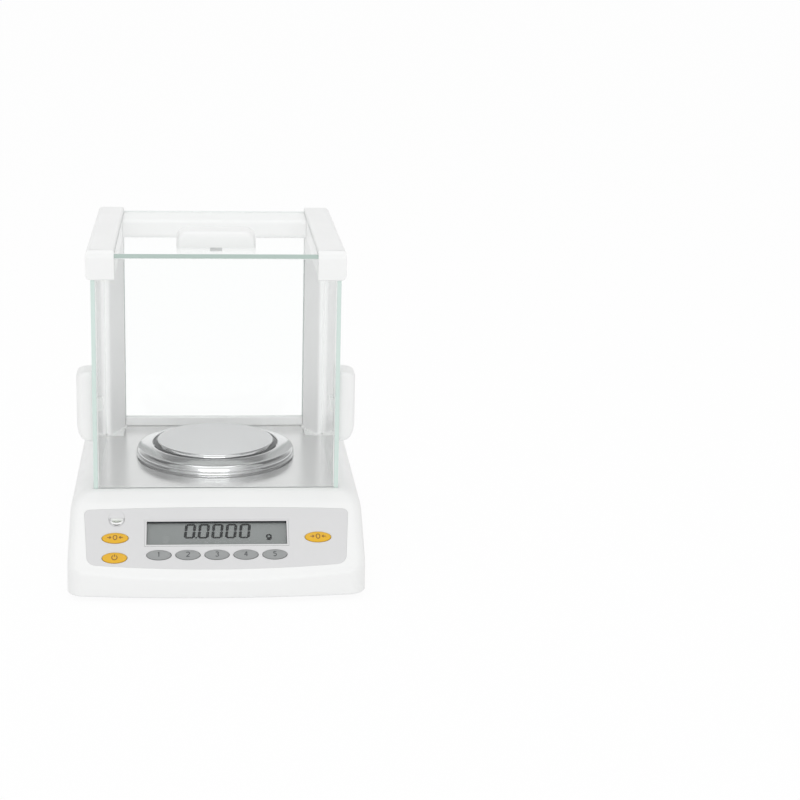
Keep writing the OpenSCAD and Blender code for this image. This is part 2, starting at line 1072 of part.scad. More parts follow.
module grip(length) {
  difference() {
    intersection() {
      rotate([90, 0, 0])
        linear_extrude(grip_d, center = true)
          polygon(fillets([
            [-length / 2, 0, 0],
            [-length / 2, grip_h - grip_arch, grip_top_r],
            [0, grip_h, grip_crown_r],
            [length / 2, grip_h - grip_arch, grip_top_r],
            [length / 2, 0, 0]
          ]));
      along_x(length + 2 * over)
        polygon(fillets([
          [-grip_d / 2, 0, 0],
          [-grip_d / 2, grip_h, grip_edge_r],
          [grip_d / 2, grip_h, grip_edge_r],
          [grip_d / 2, 0, 0]
        ]));
    }
    translate([0, 0, -over])
      cylinder(r = stud_r + slip, h = grip_bore + over);
  }
}

module clamp() {
  translate([-clamp_w / 2, -clamp_w / 2, -glass_t - clamp_t])
    cube([clamp_w, clamp_w, clamp_t]);
  translate([0, 0, -glass_t - eps])
    cylinder(r = stud_r, h = glass_t + grip_bore - slip);
}

module left_door_glass() {
  color("lightcyan")
    difference() {
      box_at(-door_out, -door_in, glass_y, glass_y + door_len, door_low, door_high);
      on_left_door()
        stud_hole();
    }
}

module right_door_glass() {
  color("lightcyan")
    difference() {
      box_at(door_in, door_out, glass_y, glass_y + door_len, door_low, door_high);
      on_right_door()
        stud_hole();
    }
}

module top_glass() {
  color("lightcyan")
    difference() {
      box_at(-top_half, top_half, top_front, top_front + top_len, top_under, top_z);
      on_top_pane()
        stud_hole();
    }
}

module left_door_grip() {
  color("white")
    on_left_door()
      grip(side_grip_l);
}

module left_door_clamp() {
  color("white")
    on_left_door()
      clamp();
}

module right_door_grip() {
  color("white")
    on_right_door()
      grip(side_grip_l);
}

module right_door_clamp() {
  color("white")
    on_right_door()
      clamp();
}

module top_grip() {
  color("white")
    on_top_pane()
      grip(grip_l);
}

module top_clamp() {
  color("white")
    on_top_pane()
      clamp();
}

module shield_disc() {
  crest = pan_r + disc_gap;
  shoulder = disc_r - disc_shoulder_w;
  foot = disc_r - disc_rim_w;
  color("silver")
    translate([0, pan_y, deck_z])
      rotate_extrude()
        polygon(fillets([
          [disc_hole_r, disc_dip_h - disc_t, 0],
          [crest - disc_step + disc_t, disc_dip_h - disc_t, 0],
          [crest + disc_t, disc_h - 3 / 2 * disc_t, 0],
          [shoulder - disc_t, disc_shoulder_h - disc_t / 2, disc_shoulder_r - disc_t],
          [foot - disc_t, disc_rim_h - disc_t / 2, 0],
          [disc_r - disc_t, disc_rim_h - disc_t, 0],
          [disc_r - disc_t, 0, 0],
          [disc_r, 0, 0],
          [disc_r, disc_rim_h, disc_fold_r],
          [foot, disc_rim_h + disc_rim_fall, disc_fold_r],
          [shoulder, disc_shoulder_h, disc_shoulder_r],
          [crest, disc_h, disc_fold_r],
          [crest - disc_step, disc_dip_h, 0],
          [disc_hole_r, disc_dip_h, 0]
        ], 6));
}

module weighing_pan() {
  flat_r = pan_r - 2 * pan_rim_r;
  under = pan_z - pan_t;
  color("silver")
    translate([0, pan_y, 0])
      difference() {
        union() {
          translate([0, 0, under])
            cylinder(r = flat_r + eps, h = pan_t);
          rotate_extrude()
            polygon(fillets([
              [flat_r, under, 0],
              [pan_r, under - pan_rim_r, rim_low_r],
              [pan_r, pan_z, rim_top_r],
              [flat_r, pan_z, 0]
            ], 5));
          translate([0, 0, under - pan_hub_h])
            cylinder(r = pan_hub_r, h = pan_hub_h + eps);
        }
        translate([0, 0, under - pan_hub_h - over])
          cylinder(r = spigot_r + slip, h = spigot_top - under + pan_hub_h + over);
      }
}

module cell_base() {
  color("lightsteelblue") {
    box_at(-cell_half, cell_half, cell_front, cell_rear, cell_z, pad_z);
    box_at(-column_half, column_half, column_y, column_y + column_d, pad_z - eps, lower_guide_z);
  }
}

module cell_column() {
  low = lower_guide_z + guide_t;
  color("lightsteelblue")
    difference() {
      union() {
        box_at(-column_half, column_half, column_y, column_y + column_d, low, upper_guide_z);
        for (side = [-1, 1])
          translate([side * (lever_w / 2 + slip + cheek_t / 2), (pivot_y + column_y) / 2, lever_z])
            cube([cheek_t, column_y - pivot_y + cheek_d, lever_h + cheek_d], center = true);
        translate([0, pivot_y, lever_z])
          rotate([0, 90, 0])
            cylinder(r = pivot_r, h = lever_w + cheek_t, center = true);
      }
      translate([0, column_y + column_d / 2, lever_z])
        cube([lever_w + 2 * slip, column_d + 2 * over, lever_h + cheek_d + 2 * over], center = true);
    }
}

module guide_plates() {
  color("gold")
    for (z = [lower_guide_z, upper_guide_z])
      difference() {
        box_at(-guide_half, guide_half, guide_front, column_y + column_d, z, z + guide_t);
        translate([0, pan_y, z - over])
          cylinder(r = spigot_r + 2, h = guide_t + 2 * over);
        box_at(-lever_w, lever_w, pivot_y - cheek_d, column_y - over, z - over, z + guide_t + over);
      }
}

module magnet_pot() {
  color("dimgray")
    translate([0, coil_y, pad_z])
      difference() {
        cylinder(r = pot_r, h = pot_h);
        difference() {
          translate([0, 0, pot_floor])
            cylinder(r = pot_gap_out, h = pot_h);
          cylinder(r = pot_gap_in, h = pot_h);
        }
      }
}

module position_sensor() {
  color("black")
    translate([0, fork_y, pad_z])
      difference() {
        translate([-fork_w / 2, -fork_d / 2, 0])
          cube([fork_w, fork_d, lever_z + lever_h - pad_z]);
        translate([-fork_gap / 2, -fork_d, lever_z - lever_h - pad_z])
          cube([fork_gap, 2 * fork_d, 3 * lever_h]);
      }
}

module load_receiver() {
  low = lower_guide_z + guide_t + flex_gap;
  high = upper_guide_z - flex_gap;
  color("lightsteelblue") {
    difference() {
      translate([-receiver_w / 2, pan_y - receiver_d / 2, low])
        cube([receiver_w, receiver_d, high - low]);
      translate([-lever_w / 2 - flex_gap, lever_front - flex_gap, lever_z - lever_h / 2 - flex_gap])
        cube([lever_w + 2 * flex_gap, receiver_d, lever_h + 2 * flex_gap]);
    }
    translate([0, pan_y, high - eps])
      cylinder(r = spigot_r, h = spigot_top - high + eps);
  }
}

module cell_lever() {
  former_z = lever_z - lever_h / 2 - former_t;
  color("slategray") {
    difference() {
      box_at(
        -lever_w / 2, lever_w / 2,
        lever_front, coil_y + coil_in,
        lever_z - lever_h / 2, lever_z + lever_h / 2
      );
      translate([0, pivot_y, lever_z])
        rotate([0, 90, 0])
          cylinder(r = pivot_r + slip / 2, h = 2 * lever_w, center = true);
    }
    translate([0, coil_y, former_z])
      cylinder(r = coil_r, h = former_t + eps);
    box_at(
      -vane_t / 2, vane_t / 2,
      coil_y + coil_in - eps, lever_end,
      lever_z - vane_h / 2, lever_z + vane_h / 2
    );
  }
}

module cell_coil() {
  color("peru")
    translate([0, coil_y, lever_z - lever_h / 2 - former_t - coil_h])
      difference() {
        cylinder(r = coil_r, h = coil_h);
        translate([0, 0, -over])
          cylinder(r = coil_in, h = coil_h + 2 * over);
      }
}

module main_board() {
  chip = (main_x1 - main_x0) / 5;
  row = (main_y1 - main_y0) / 4;
  chip_h = 2;
  color("darkgreen") {
    box_at(main_x0, main_x1, main_y0, main_y1, main_z, main_z + board_t);
    for (i = [1 : 3])
      translate([main_x0 + chip * (i * 3 / 2 - 1), main_y0 + row * i - chip / 2, main_z + board_t - eps])
        cube([chip, chip, chip_h]);
  }
}

module connector_board() {
  color("darkgreen")
    box_at(connector_x0, connector_x1, connector_y, connector_y + board_t, connector_z0, connector_z1);
}

module data_port() {
  inner = rear_y - wall;
  color("silver")
    difference() {
      union() {
        box_at(port_x - port_flange_w / 2, port_x + port_flange_w / 2, inner - port_flange_t, inner,
          port_z - port_flange_h / 2, port_z + port_flange_h / 2);
        translate([port_x, rear_y + port_proud, port_z])
          rotate([90, 0, 0])
            linear_extrude(rear_y + port_proud - connector_y - board_t)
              polygon(fillets([
                [-port_w / 2, port_h / 2, port_r],
                [port_w / 2, port_h / 2, port_r],
                [port_w / 2 - port_lean, -port_h / 2, port_r],
                [-port_w / 2 + port_lean, -port_h / 2, port_r]
              ], 4));
        for (side = [-1, 1])
          translate([port_x + side * port_screw_pitch / 2, inner - port_flange_t, port_z])
            rotate([-90, 0, 0])
              cylinder(r = port_nut_r, h = port_flange_t + wall + port_proud);
      }
      for (side = [-1, 1])
        translate([port_x + side * port_screw_pitch / 2, rear_y + port_proud - port_nut_l, port_z])
          rotate([-90, 0, 0])
            cylinder(r = port_nut_bore, h = 2 * port_nut_l);
    }
}

module power_jack() {
  inner = rear_y - wall;
  color("black")
    translate([jack_x, 0, port_z])
      rotate([-90, 0, 0])
        difference() {
          union() {
            translate([-jack_body / 2, -jack_body / 2, connector_y + board_t])
              cube([jack_body, jack_body, inner - connector_y - board_t]);
            translate([0, 0, inner - eps])
              cylinder(r = jack_r, h = wall + eps);
          }
          difference() {
            translate([0, 0, rear_y - jack_bore_deep])
              cylinder(r = jack_bore_r, h = 2 * jack_bore_deep);
            cylinder(r = jack_pin_r, h = rear_y - jack_pin_short);
          }
        }
}

base_tray();
upper_housing();
housing_screws();
front_feet();
lock_lug();
foot_pad_left();
foot_pad_right();
foot_screw_left();
foot_screw_right();
control_fascia();
display_frame();
display_window();
lcd_cell();
key_board();
key_switches();
level_cup();
level_vial();
key_zero_left();
key_power();
key_zero_right();
key_1();
key_2();
key_3();
key_4();
key_5();
chamber_floor();
front_glass();
rear_glass();
rear_sill();
door_guides();
left_pillar();
right_pillar();
pillar_screws();
left_rail();
right_rail();
rear_hood();
left_door_glass();
left_door_grip();
left_door_clamp();
right_door_glass();
right_door_grip();
right_door_clamp();
top_glass();
top_grip();
top_clamp();
shield_disc();
weighing_pan();
cell_base();
cell_column();
guide_plates();
magnet_pot();
position_sensor();
load_receiver();
cell_lever();
cell_coil();
main_board();
connector_board();
data_port();
power_jack();
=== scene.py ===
"""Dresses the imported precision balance: a white housing with keys and a display, and a glass shield over a pan."""

import json
import logging
import math
from dataclasses import dataclass
from enum import Enum
from typing import Any, Callable, Sequence

import bmesh
import bpy
from mathutils import Matrix, Vector


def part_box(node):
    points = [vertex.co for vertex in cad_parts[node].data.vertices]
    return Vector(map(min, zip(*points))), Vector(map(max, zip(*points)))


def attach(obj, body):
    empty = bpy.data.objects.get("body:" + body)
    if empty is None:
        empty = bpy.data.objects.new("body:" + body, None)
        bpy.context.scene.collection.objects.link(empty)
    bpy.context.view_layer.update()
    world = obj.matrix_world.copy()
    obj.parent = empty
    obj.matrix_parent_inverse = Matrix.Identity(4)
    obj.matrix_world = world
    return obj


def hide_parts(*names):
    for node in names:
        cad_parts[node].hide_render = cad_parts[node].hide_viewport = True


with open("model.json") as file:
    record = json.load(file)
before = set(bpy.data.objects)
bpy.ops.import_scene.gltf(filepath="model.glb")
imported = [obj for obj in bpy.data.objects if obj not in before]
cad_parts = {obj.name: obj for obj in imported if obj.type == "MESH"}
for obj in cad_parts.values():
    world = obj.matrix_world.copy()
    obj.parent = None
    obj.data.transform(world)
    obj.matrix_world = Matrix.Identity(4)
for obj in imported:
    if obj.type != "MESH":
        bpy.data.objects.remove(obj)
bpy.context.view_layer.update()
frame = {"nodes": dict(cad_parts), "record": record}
LOG = logging.getLogger("balance")
MM = 0.001
# Points round a key or a well, and round the level's vial
KEY_POINTS = 48
VIAL_POINTS = 64
BODY_OF: dict[str, str] = {n: b for b, nodes in frame["record"]["behaviour"]["bodies"].items() for n in nodes}
Colour = tuple[float, float, float]
Point = tuple[float, float, float]
Spot = tuple[float, float]
Mesh = bpy.types.Mesh
Tree = bpy.types.NodeTree
Node = bpy.types.Node
Pick = Callable[[bpy.types.MeshPolygon], int]
# Where most values of a noise texture lie
NOISE_SPAN: Spot = (0.3, 0.7)


class Side(Enum):
    """Which side of the balance a paired piece is on."""

    LEFT = "left"
    RIGHT = "right"


class Mark(Enum):
    """The plain sign printed on a key."""

    ZERO = "zero"
    POWER = "power"
    ONE = "1"
    TWO = "2"
    THREE = "3"
    FOUR = "4"
    FIVE = "5"


class Axis(Enum):
    """The axis across a pane's thickness."""

    X = 0
    Y = 1
    Z = 2


class TreeKind(Enum):
    """What a node group is for."""

    SHADER = "ShaderNodeTree"
    GEOMETRY = "GeometryNodeTree"


# Node trees


def add(tree: Tree, kind: str, inputs: dict[Any, Any] | None = None, **settings: Any) -> Node:
    """Adds a node and sets it up.

    Args:
        tree: The tree to add to.
        kind: The node's type name.
        inputs: Values or sockets for its inputs, by name or index.
        settings: The node's own properties.

    Returns:
        The new node.
    """
    node = tree.nodes.new(kind)
    for name, value in settings.items():
        setattr(node, name, value)
    for key, value in (inputs or {}).items():
        if isinstance(value, bpy.types.NodeSocket):
            tree.links.new(value, node.inputs[key])
        else:
            node.inputs[key].default_value = value
    return node


def maths(tree: Tree, operation: str, a: Any, b: Any = 0.0, clamp: bool = False) -> bpy.types.NodeSocket:
    """Adds a Math node and gives its result."""
    return add(tree, "ShaderNodeMath", {0: a, 1: b}, operation=operation, use_clamp=clamp).outputs[0]


def ramp(tree: Tree, value: bpy.types.NodeSocket, start: Spot, end: tuple[Any, Any]) -> bpy.types.NodeSocket:
    """Adds a Map Range node and gives its result.

    Args:
        tree: The tree to add to.
        value: What is mapped.
        start: The range it comes from.
        end: The range it goes to, as values or sockets.

    Returns:
        The mapped value.
    """
    ends = {"From Min": start[0], "From Max": start[1], "To Min": end[0], "To Max": end[1]}
    return add(tree, "ShaderNodeMapRange", {"Value": value, **ends}).outputs["Result"]


def new_group(name: str, kind: TreeKind, inputs: dict[str, float | int | None],
              outputs: Sequence[str]) -> tuple[Tree, Node, Node]:
    """Starts a node group with named sockets.

    Args:
        name: The group's name.
        kind: What it is for, which also says what its outputs are: numbers or geometry.
        inputs: Its inputs with their first values, or None for geometry.
        outputs: Its outputs.

    Returns:
        The tree, its input node and its output node.
    """
    sockets = {float: "NodeSocketFloat", int: "NodeSocketInt", type(None): "NodeSocketGeometry"}
    tree = bpy.data.node_groups.new(name, kind.value)
    for label, value in inputs.items():
        socket = tree.interface.new_socket(name=label, in_out="INPUT", socket_type=sockets[type(value)])
        if value is not None:
            socket.default_value = value
    result = sockets[float if kind is TreeKind.SHADER else type(None)]
    for label in outputs:
        tree.interface.new_socket(name=label, in_out="OUTPUT", socket_type=result)
    return tree, add(tree, "NodeGroupInput"), add(tree, "NodeGroupOutput")


def noise(tree: Tree, place: Any, scale: Any, detail: float, rough: float = 0.5) -> Node:
    """Adds a noise texture at a place."""
    return add(tree, "ShaderNodeTexNoise", {"Vector": place, "Scale": scale, "Detail": detail, "Roughness": rough})


def texture_group(name: str, inputs: dict[str, float]) -> Tree:
    """Makes the group for fine moulded grain, or for brushed lines where it has the input Stretch.

    Args:
        name: The group's name.
        inputs: Its inputs with their first values.

    Returns:
        The group, with the outputs Height, Tone and Gloss.
    """
    labels = ("Height", "Tone", "Gloss")
    tree, source, sink = new_group(name, TreeKind.SHADER, inputs, labels)
    place, scale = add(tree, "ShaderNodeTexCoord").outputs["Object"], source.outputs["Scale"]
    if "Stretch" in inputs:
        narrow = source.outputs["Stretch"]
        stretch = add(tree, "ShaderNodeCombineXYZ", {"X": 1.0, "Y": narrow, "Z": narrow}).outputs[0]
        drawn = add(tree, "ShaderNodeVectorMath", {0: place, 1: stretch}, operation="MULTIPLY").outputs[0]
        lines = noise(tree, drawn, scale, 4.0, 0.7)
        waves = (lines, lines, noise(tree, place, 14.0, 2.0))
    else:
        fine, slow = noise(tree, place, scale, 3.0, 0.6), noise(tree, place, 9.0, 2.0)
        waves = (fine, slow, noise(tree, place, 55.0, 4.0, 0.65))
    for label, node in zip(labels, waves):
        tree.links.new(node.outputs["Fac"], sink.inputs[label])
    return tree


GRAIN = texture_group("moulded grain", {"Scale": 900.0})
BRUSHING = texture_group("brushed lines", {"Scale": 60.0, "Stretch": 40.0})


def new_tree(owner: bpy.types.Material | bpy.types.World) -> Tree:
    """Gives a material or the world an empty node tree.

    Args:
        owner: The material or the world.

    Returns:
        The tree.
    """
    owner.use_nodes = True
    owner.node_tree.nodes.clear()
    return owner.node_tree


def seen_rays(tree: Tree, path: Node) -> bpy.types.NodeSocket:
    """Gives a mask of the rays that show a background, straight, mirrored or through glass."""
    seen = maths(tree, "ADD", path.outputs["Is Camera Ray"], path.outputs["Is Glossy Ray"])
    return maths(tree, "ADD", seen, path.outputs["Is Transmission Ray"], True)


# Finishes


@dataclass(frozen=True)
class Finish:
    """A solid surface with a little change of tone, gloss and height.

    Attributes:
        name: The material's name.
        colour: Its main colour, linear.
        shade: The colour of its darker patches.
        rough: Its lowest and highest roughness.
        scale: How fine its grain or its lines are.
        depth: The height of the grain, in metres.
        metallic: 1 for bare metal.
        coat: Weight of a clear coat.
        stretch: How long brushed lines are beside their width, or 0 for grain.
        alpha: How much of the surface covers what lies behind it.
    """

    name: str
    colour: Colour
    shade: Colour
    rough: tuple[float, float] = (0.35, 0.5)
    scale: float = 900.0
    depth: float = 2e-5
    metallic: float = 0.0
    coat: float = 0.0
    stretch: float = 0.0
    alpha: float = 1.0

    def tone(self, tree: Tree, texture: Node) -> bpy.types.NodeSocket:
        """Adds the mix of the two colours.

        Args:
            tree: The material's tree.
            texture: The node that says where each colour is.

        Returns:
            The mixed colour.
        """
        ends = {"A": (*self.shade, 1), "B": (*self.colour, 1)}
        mix = add(tree, "ShaderNodeMix", {"Factor": texture.outputs["Tone"], **ends}, data_type="RGBA")
        return mix.outputs["Result"]

    def build(self) -> bpy.types.Material:
        """Makes the material.

        Returns:
            The new material.
        """
        material = bpy.data.materials.new(self.name)
        tree = new_tree(material)
        lines = {"Stretch": self.stretch} if self.stretch else {}
        texture = add(tree, "ShaderNodeGroup", {"Scale": self.scale, **lines}, node_tree=BRUSHING if lines else GRAIN)
        bump = add(tree, "ShaderNodeBump", {
            "Height": texture.outputs["Height"], "Distance": self.depth, "Strength": 0.6})
        shader = add(tree, "ShaderNodeBsdfPrincipled", {
            "Base Color": self.tone(tree, texture), "Normal": bump.outputs["Normal"], "Metallic": self.metallic,
            "Roughness": ramp(tree, texture.outputs["Gloss"], NOISE_SPAN, self.rough),
            "Coat Weight": self.coat, "Coat Roughness": 0.08, "Alpha": self.alpha})
        add(tree, "ShaderNodeOutputMaterial", {"Surface": shader.outputs[0]})
        return material


@dataclass(frozen=True)
class ClearFinish(Finish):
    """Glass or clear plastic that lets the lamps through.

    Attributes:
        ior: How much it bends light.
    """

    ior: float = 1.5

    def build(self) -> bpy.types.Material:
        """Makes the material.

        Returns:
            The new material.
        """
        material = bpy.data.materials.new(self.name)
        tree = new_tree(material)
        texture = add(tree, "ShaderNodeGroup", node_tree=GRAIN)
        shader = add(tree, "ShaderNodeBsdfPrincipled", {
            "Base Color": self.tone(tree, texture), "Roughness": 0.0, "IOR": self.ior, "Transmission Weight": 1.0})
        lamps = add(tree, "ShaderNodeBsdfTransparent", {"Color": (*self.colour, 1)})
        path = add(tree, "ShaderNodeLightPath")
        soft = maths(tree, "MAXIMUM", path.outputs["Is Shadow Ray"], path.outputs["Is Diffuse Ray"])
        mix = add(tree, "ShaderNodeMixShader", {0: soft, 1: shader.outputs[0], 2: lamps.outputs[0]})
        add(tree, "ShaderNodeOutputMaterial", {"Surface": mix.outputs[0]})
        return material


PALETTE: dict[str, bpy.types.Material] = {finish.name: finish.build() for finish in (
    Finish("white moulding", (0.87, 0.875, 0.87), (0.85, 0.855, 0.852), (0.32, 0.45), 700.0, 1.5e-5),
    Finish("white gloss", (0.87, 0.875, 0.87), (0.855, 0.86, 0.857), (0.3, 0.35), 500.0, 6e-6),
    # A lighter copy of the pillar paint for the pillars' forward faces: a painted highlight
    Finish("pillar nose highlight", (0.975, 0.975, 0.975), (0.96, 0.96, 0.96), (0.2, 0.28), 900.0, 6e-6),
    Finish("pillar paint", (0.87, 0.87, 0.87), (0.85, 0.85, 0.85), (0.3, 0.42), 900.0, 1e-5),
    Finish("fascia grey", (0.69, 0.69, 0.695), (0.67, 0.67, 0.675), (0.36, 0.48), 1100.0, 1.5e-5),
    Finish("frame black", (0.045, 0.047, 0.05), (0.03, 0.032, 0.035), (0.4, 0.55)),
    Finish("lcd grey green", (0.285, 0.305, 0.3), (0.265, 0.285, 0.28), (0.2, 0.3), 300.0, 4e-6),
    Finish("lcd ink", (0.012, 0.013, 0.014), (0.008, 0.009, 0.01), (0.4, 0.5)),
    Finish("key yellow", (0.78, 0.45, 0.014), (0.74, 0.41, 0.012), (0.3, 0.4), 600.0, 8e-6),
    Finish("key grey", (0.315, 0.325, 0.325), (0.29, 0.3, 0.3), (0.28, 0.38), 600.0, 8e-6),
    Finish("print brown", (0.27, 0.12, 0.02), (0.24, 0.1, 0.015), (0.4, 0.5)),
    Finish("print grey", (0.09, 0.095, 0.1), (0.08, 0.085, 0.09), (0.4, 0.5)),
    Finish("chamber floor", (0.77, 0.77, 0.77), (0.745, 0.745, 0.745), (0.19, 0.24), 400.0, 1e-6, 0.72),
    Finish("pan steel", (0.83, 0.835, 0.84), (0.78, 0.785, 0.79), (0.38, 0.46), 60.0, 4e-6, 1.0, stretch=30.0),
    # Dark steel for the pan's flange: a painted shadow in the gap between the pan and the disc
    Finish("painted shadow steel", (0.2, 0.202, 0.205), (0.18, 0.182, 0.185), (0.35, 0.45), 60.0, 4e-6, 1.0, stretch=30.0),
    Finish("polished steel", (0.7, 0.705, 0.71), (0.66, 0.665, 0.67), (0.08, 0.12), 40.0, 1e-6, 1.0, stretch=20.0),
    Finish("disc steel", (0.73, 0.735, 0.74), (0.69, 0.695, 0.7), (0.1, 0.14), 40.0, 1e-6, 1.0, stretch=20.0),
    # A whiter copy of the white for the sill, the pillar trims and the level's vial and wall, which lie in shade:
    # painted light
    Finish("white with painted light", (0.95, 0.952, 0.95), (0.935, 0.937, 0.935), (0.28, 0.34), 500.0, 6e-6),
    Finish("pane edge", (0.66, 0.77, 0.73), (0.6, 0.72, 0.675), (0.16, 0.28), 300.0, 6e-6),
    Finish("deep edge", (0.47, 0.57, 0.53), (0.4, 0.5, 0.46), (0.16, 0.28), 300.0, 6e-6),
    Finish("pale edge", (0.84, 0.89, 0.87), (0.8, 0.86, 0.84), (0.16, 0.28), 300.0, 6e-6),
    Finish("clear edge", (0.93, 0.95, 0.942), (0.915, 0.937, 0.928), (0.16, 0.28), 300.0, 6e-6),
    Finish("clamp grey", (0.5, 0.505, 0.51), (0.47, 0.475, 0.48), (0.3, 0.4), 700.0, 1e-5),
    Finish("tray grey", (0.16, 0.165, 0.17), (0.13, 0.135, 0.14), (0.5, 0.62), 500.0, 4e-5),
    Finish("foot rubber", (0.035, 0.035, 0.036), (0.025, 0.025, 0.026), (0.65, 0.8), 800.0, 4e-5),
    Finish("wheel grey", (0.12, 0.125, 0.13), (0.1, 0.105, 0.11), (0.42, 0.55), 700.0, 3e-5),
    Finish("plated steel", (0.56, 0.57, 0.58), (0.5, 0.51, 0.52), (0.22, 0.34), 80.0, 4e-6, 1.0, stretch=12.0),
    Finish("board green", (0.03, 0.17, 0.075), (0.025, 0.14, 0.06), (0.3, 0.42), 250.0, 2e-5, coat=0.3),
    Finish("cell alloy", (0.66, 0.67, 0.69), (0.6, 0.61, 0.63), (0.3, 0.42), 70.0, 8e-6, 1.0, stretch=16.0),
    Finish("guide bronze", (0.68, 0.47, 0.2), (0.6, 0.4, 0.16), (0.28, 0.4), 70.0, 5e-6, 1.0, stretch=16.0),
    Finish("magnet iron", (0.22, 0.22, 0.23), (0.17, 0.17, 0.18), (0.45, 0.6), 300.0, 3e-5, 1.0),
    Finish("coil copper", (0.68, 0.32, 0.15), (0.55, 0.24, 0.1), (0.3, 0.42), 30.0, 4e-5, 1.0, stretch=60.0),
    Finish("window clear", (0.2, 0.21, 0.21), (0.17, 0.18, 0.18), (0.06, 0.1), 300.0, 1e-6, alpha=0.05),
    ClearFinish("pane glass", (0.996, 1.0, 0.998), (0.992, 0.998, 0.996), ior=1.18),
    ClearFinish("level liquid", (0.97, 0.99, 0.95), (0.95, 0.98, 0.92), ior=1.4),
)}


# Mesh helpers


def made(name: str, work: bmesh.types.BMesh) -> Mesh:
    """Turns a bmesh into a new mesh.

    Args:
        name: The mesh's name.
        work: The bmesh, which is freed.

    Returns:
        The new mesh.
    """
    mesh = bpy.data.meshes.new(name)
    work.to_mesh(mesh)
    work.free()
    return mesh


def scratch(name: str, mesh: Mesh) -> bpy.types.Object:
    """Puts a mesh in the scene.

    Args:
        name: The object's name.
        mesh: The mesh.

    Returns:
        The new object.
    """
    piece = bpy.data.objects.new(name, mesh)
    bpy.context.scene.collection.objects.link(piece)
    return piece


def applied(piece: bpy.types.Object) -> Mesh:
    """Gives a piece's mesh with its modifiers applied, and removes the piece.

    Args:
        piece: The piece.

    Returns:
        A new mesh.
    """
    mesh = bpy.data.meshes.new_from_object(piece.evaluated_get(bpy.context.evaluated_depsgraph_get()))
    bpy.data.objects.remove(piece)
    return mesh


def middle(node: str) -> Vector:
    """Gives the middle of a CAD node's box."""
    low, high = (Vector(p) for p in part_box(node))
    return (low + high) / 2


def new_piece(name: str, mesh: Mesh, finishes: Sequence[str], host: str, stands: bool = False,
              pick: Pick | None = None) -> None:
    """Puts a mesh in the scene as a piece of the balance.

    Args:
        name: The piece's name.
        mesh: Its mesh, in the frame's place.
        finishes: The finishes of its material slots.
        host: The CAD node whose body it takes.
        stands: Whether it stands for that node.
        pick: Gives the number of a face's finish, where there are several.
    """
    piece = scratch(name, mesh)
    mesh.materials.clear()
    for label in finishes:
        mesh.materials.append(PALETTE[label])
    if pick:
        mesh.polygons.foreach_set("material_index", [pick(p) for p in mesh.polygons])
    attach(piece, BODY_OF[host])
    if stands:
        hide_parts(host)
    LOG.info("%s: %d faces, on %s", name, len(mesh.polygons), BODY_OF[host])


def smooth(mesh: Mesh, angle: float = 40.0) -> Mesh:
    """Shades a mesh smooth, apart from edges that turn by more than an angle.

    Args:
        mesh: The mesh.
        angle: That angle, in degrees.

    Returns:
        The same mesh.
    """
    mesh.polygons.foreach_set("use_smooth", [True] * len(mesh.polygons))
    mesh.set_sharp_from_angle(angle=math.radians(angle))
    mesh.update()
    return mesh


def softened(mesh: Mesh, width: float = 0.0, segments: int = 2, least: float = 40.0, sharp: float = 35.0) -> Mesh:
    """Rounds a mesh's sharp edges a little, and shades it smooth with its flat faces left flat.

    Args:
        mesh: The mesh.
        width: How far the rounding reaches from an edge, or 0 for none.
        segments: Faces across it.
        least: The least turn of an edge that is rounded, in degrees.
        sharp: The least turn of an edge that is shaded sharp, in degrees.

    Returns:
        A new mesh.
    """
    piece = scratch("softening", smooth(mesh, sharp))
    if width:
        bevel = piece.modifiers.new("edge", "BEVEL")
        bevel.width, bevel.segments = width, segments
        bevel.limit_method, bevel.angle_limit = "ANGLE", math.radians(least)
    piece.modifiers.new("normals", "WEIGHTED_NORMAL").keep_sharp = True
    return applied(piece)


def cut(mesh: Mesh, tool: Mesh) -> Mesh:
    """Cuts one closed mesh out of another.

    Args:
        mesh: The mesh to cut.
        tool: What is cut away.

    Returns:
        A new mesh.
    """
    piece, cutter = scratch("cutting", mesh), scratch("cutter", tool)
    step = piece.modifiers.new("cut", "BOOLEAN")
    step.object, step.operation, step.solver = cutter, "DIFFERENCE", "EXACT"
    result = applied(piece)
    bpy.data.objects.remove(cutter)
    return result


def node_mesh(node: str) -> Mesh:
    """Copies a CAD node's mesh, with its triangles joined and its flat faces whole.

    Args:
        node: The node's name.

    Returns:
        A new mesh.
    """
    work = bmesh.new()
    work.from_mesh(frame["nodes"][node].data)
    bmesh.ops.remove_doubles(work, verts=work.verts, dist=1e-6)
    bmesh.ops.dissolve_limit(work, angle_limit=math.radians(0.3), verts=work.verts, edges=work.edges)
    mesh = made(node, work)
    for label in ("custom_normal", "sharp_edge", "sharp_face"):
        if label in mesh.attributes:
            mesh.attributes.remove(mesh.attributes[label])
    return mesh


def widened(mesh: Mesh, reach: float, near: float = 0.05 * MM) -> Mesh:
    """Moves a mesh's outermost points on both sides further out.

    Args:
        mesh: The mesh.
        reach: How far they move along X.
        near: How close to the outermost a point has to be.

    Returns:
        The same mesh.
    """
    outer = max(abs(v.co.x) for v in mesh.vertices) - near
    for point in mesh.vertices:
        if abs(point.co.x) > outer:
            point.co.x += math.copysign(reach, point.co.x)
    return mesh


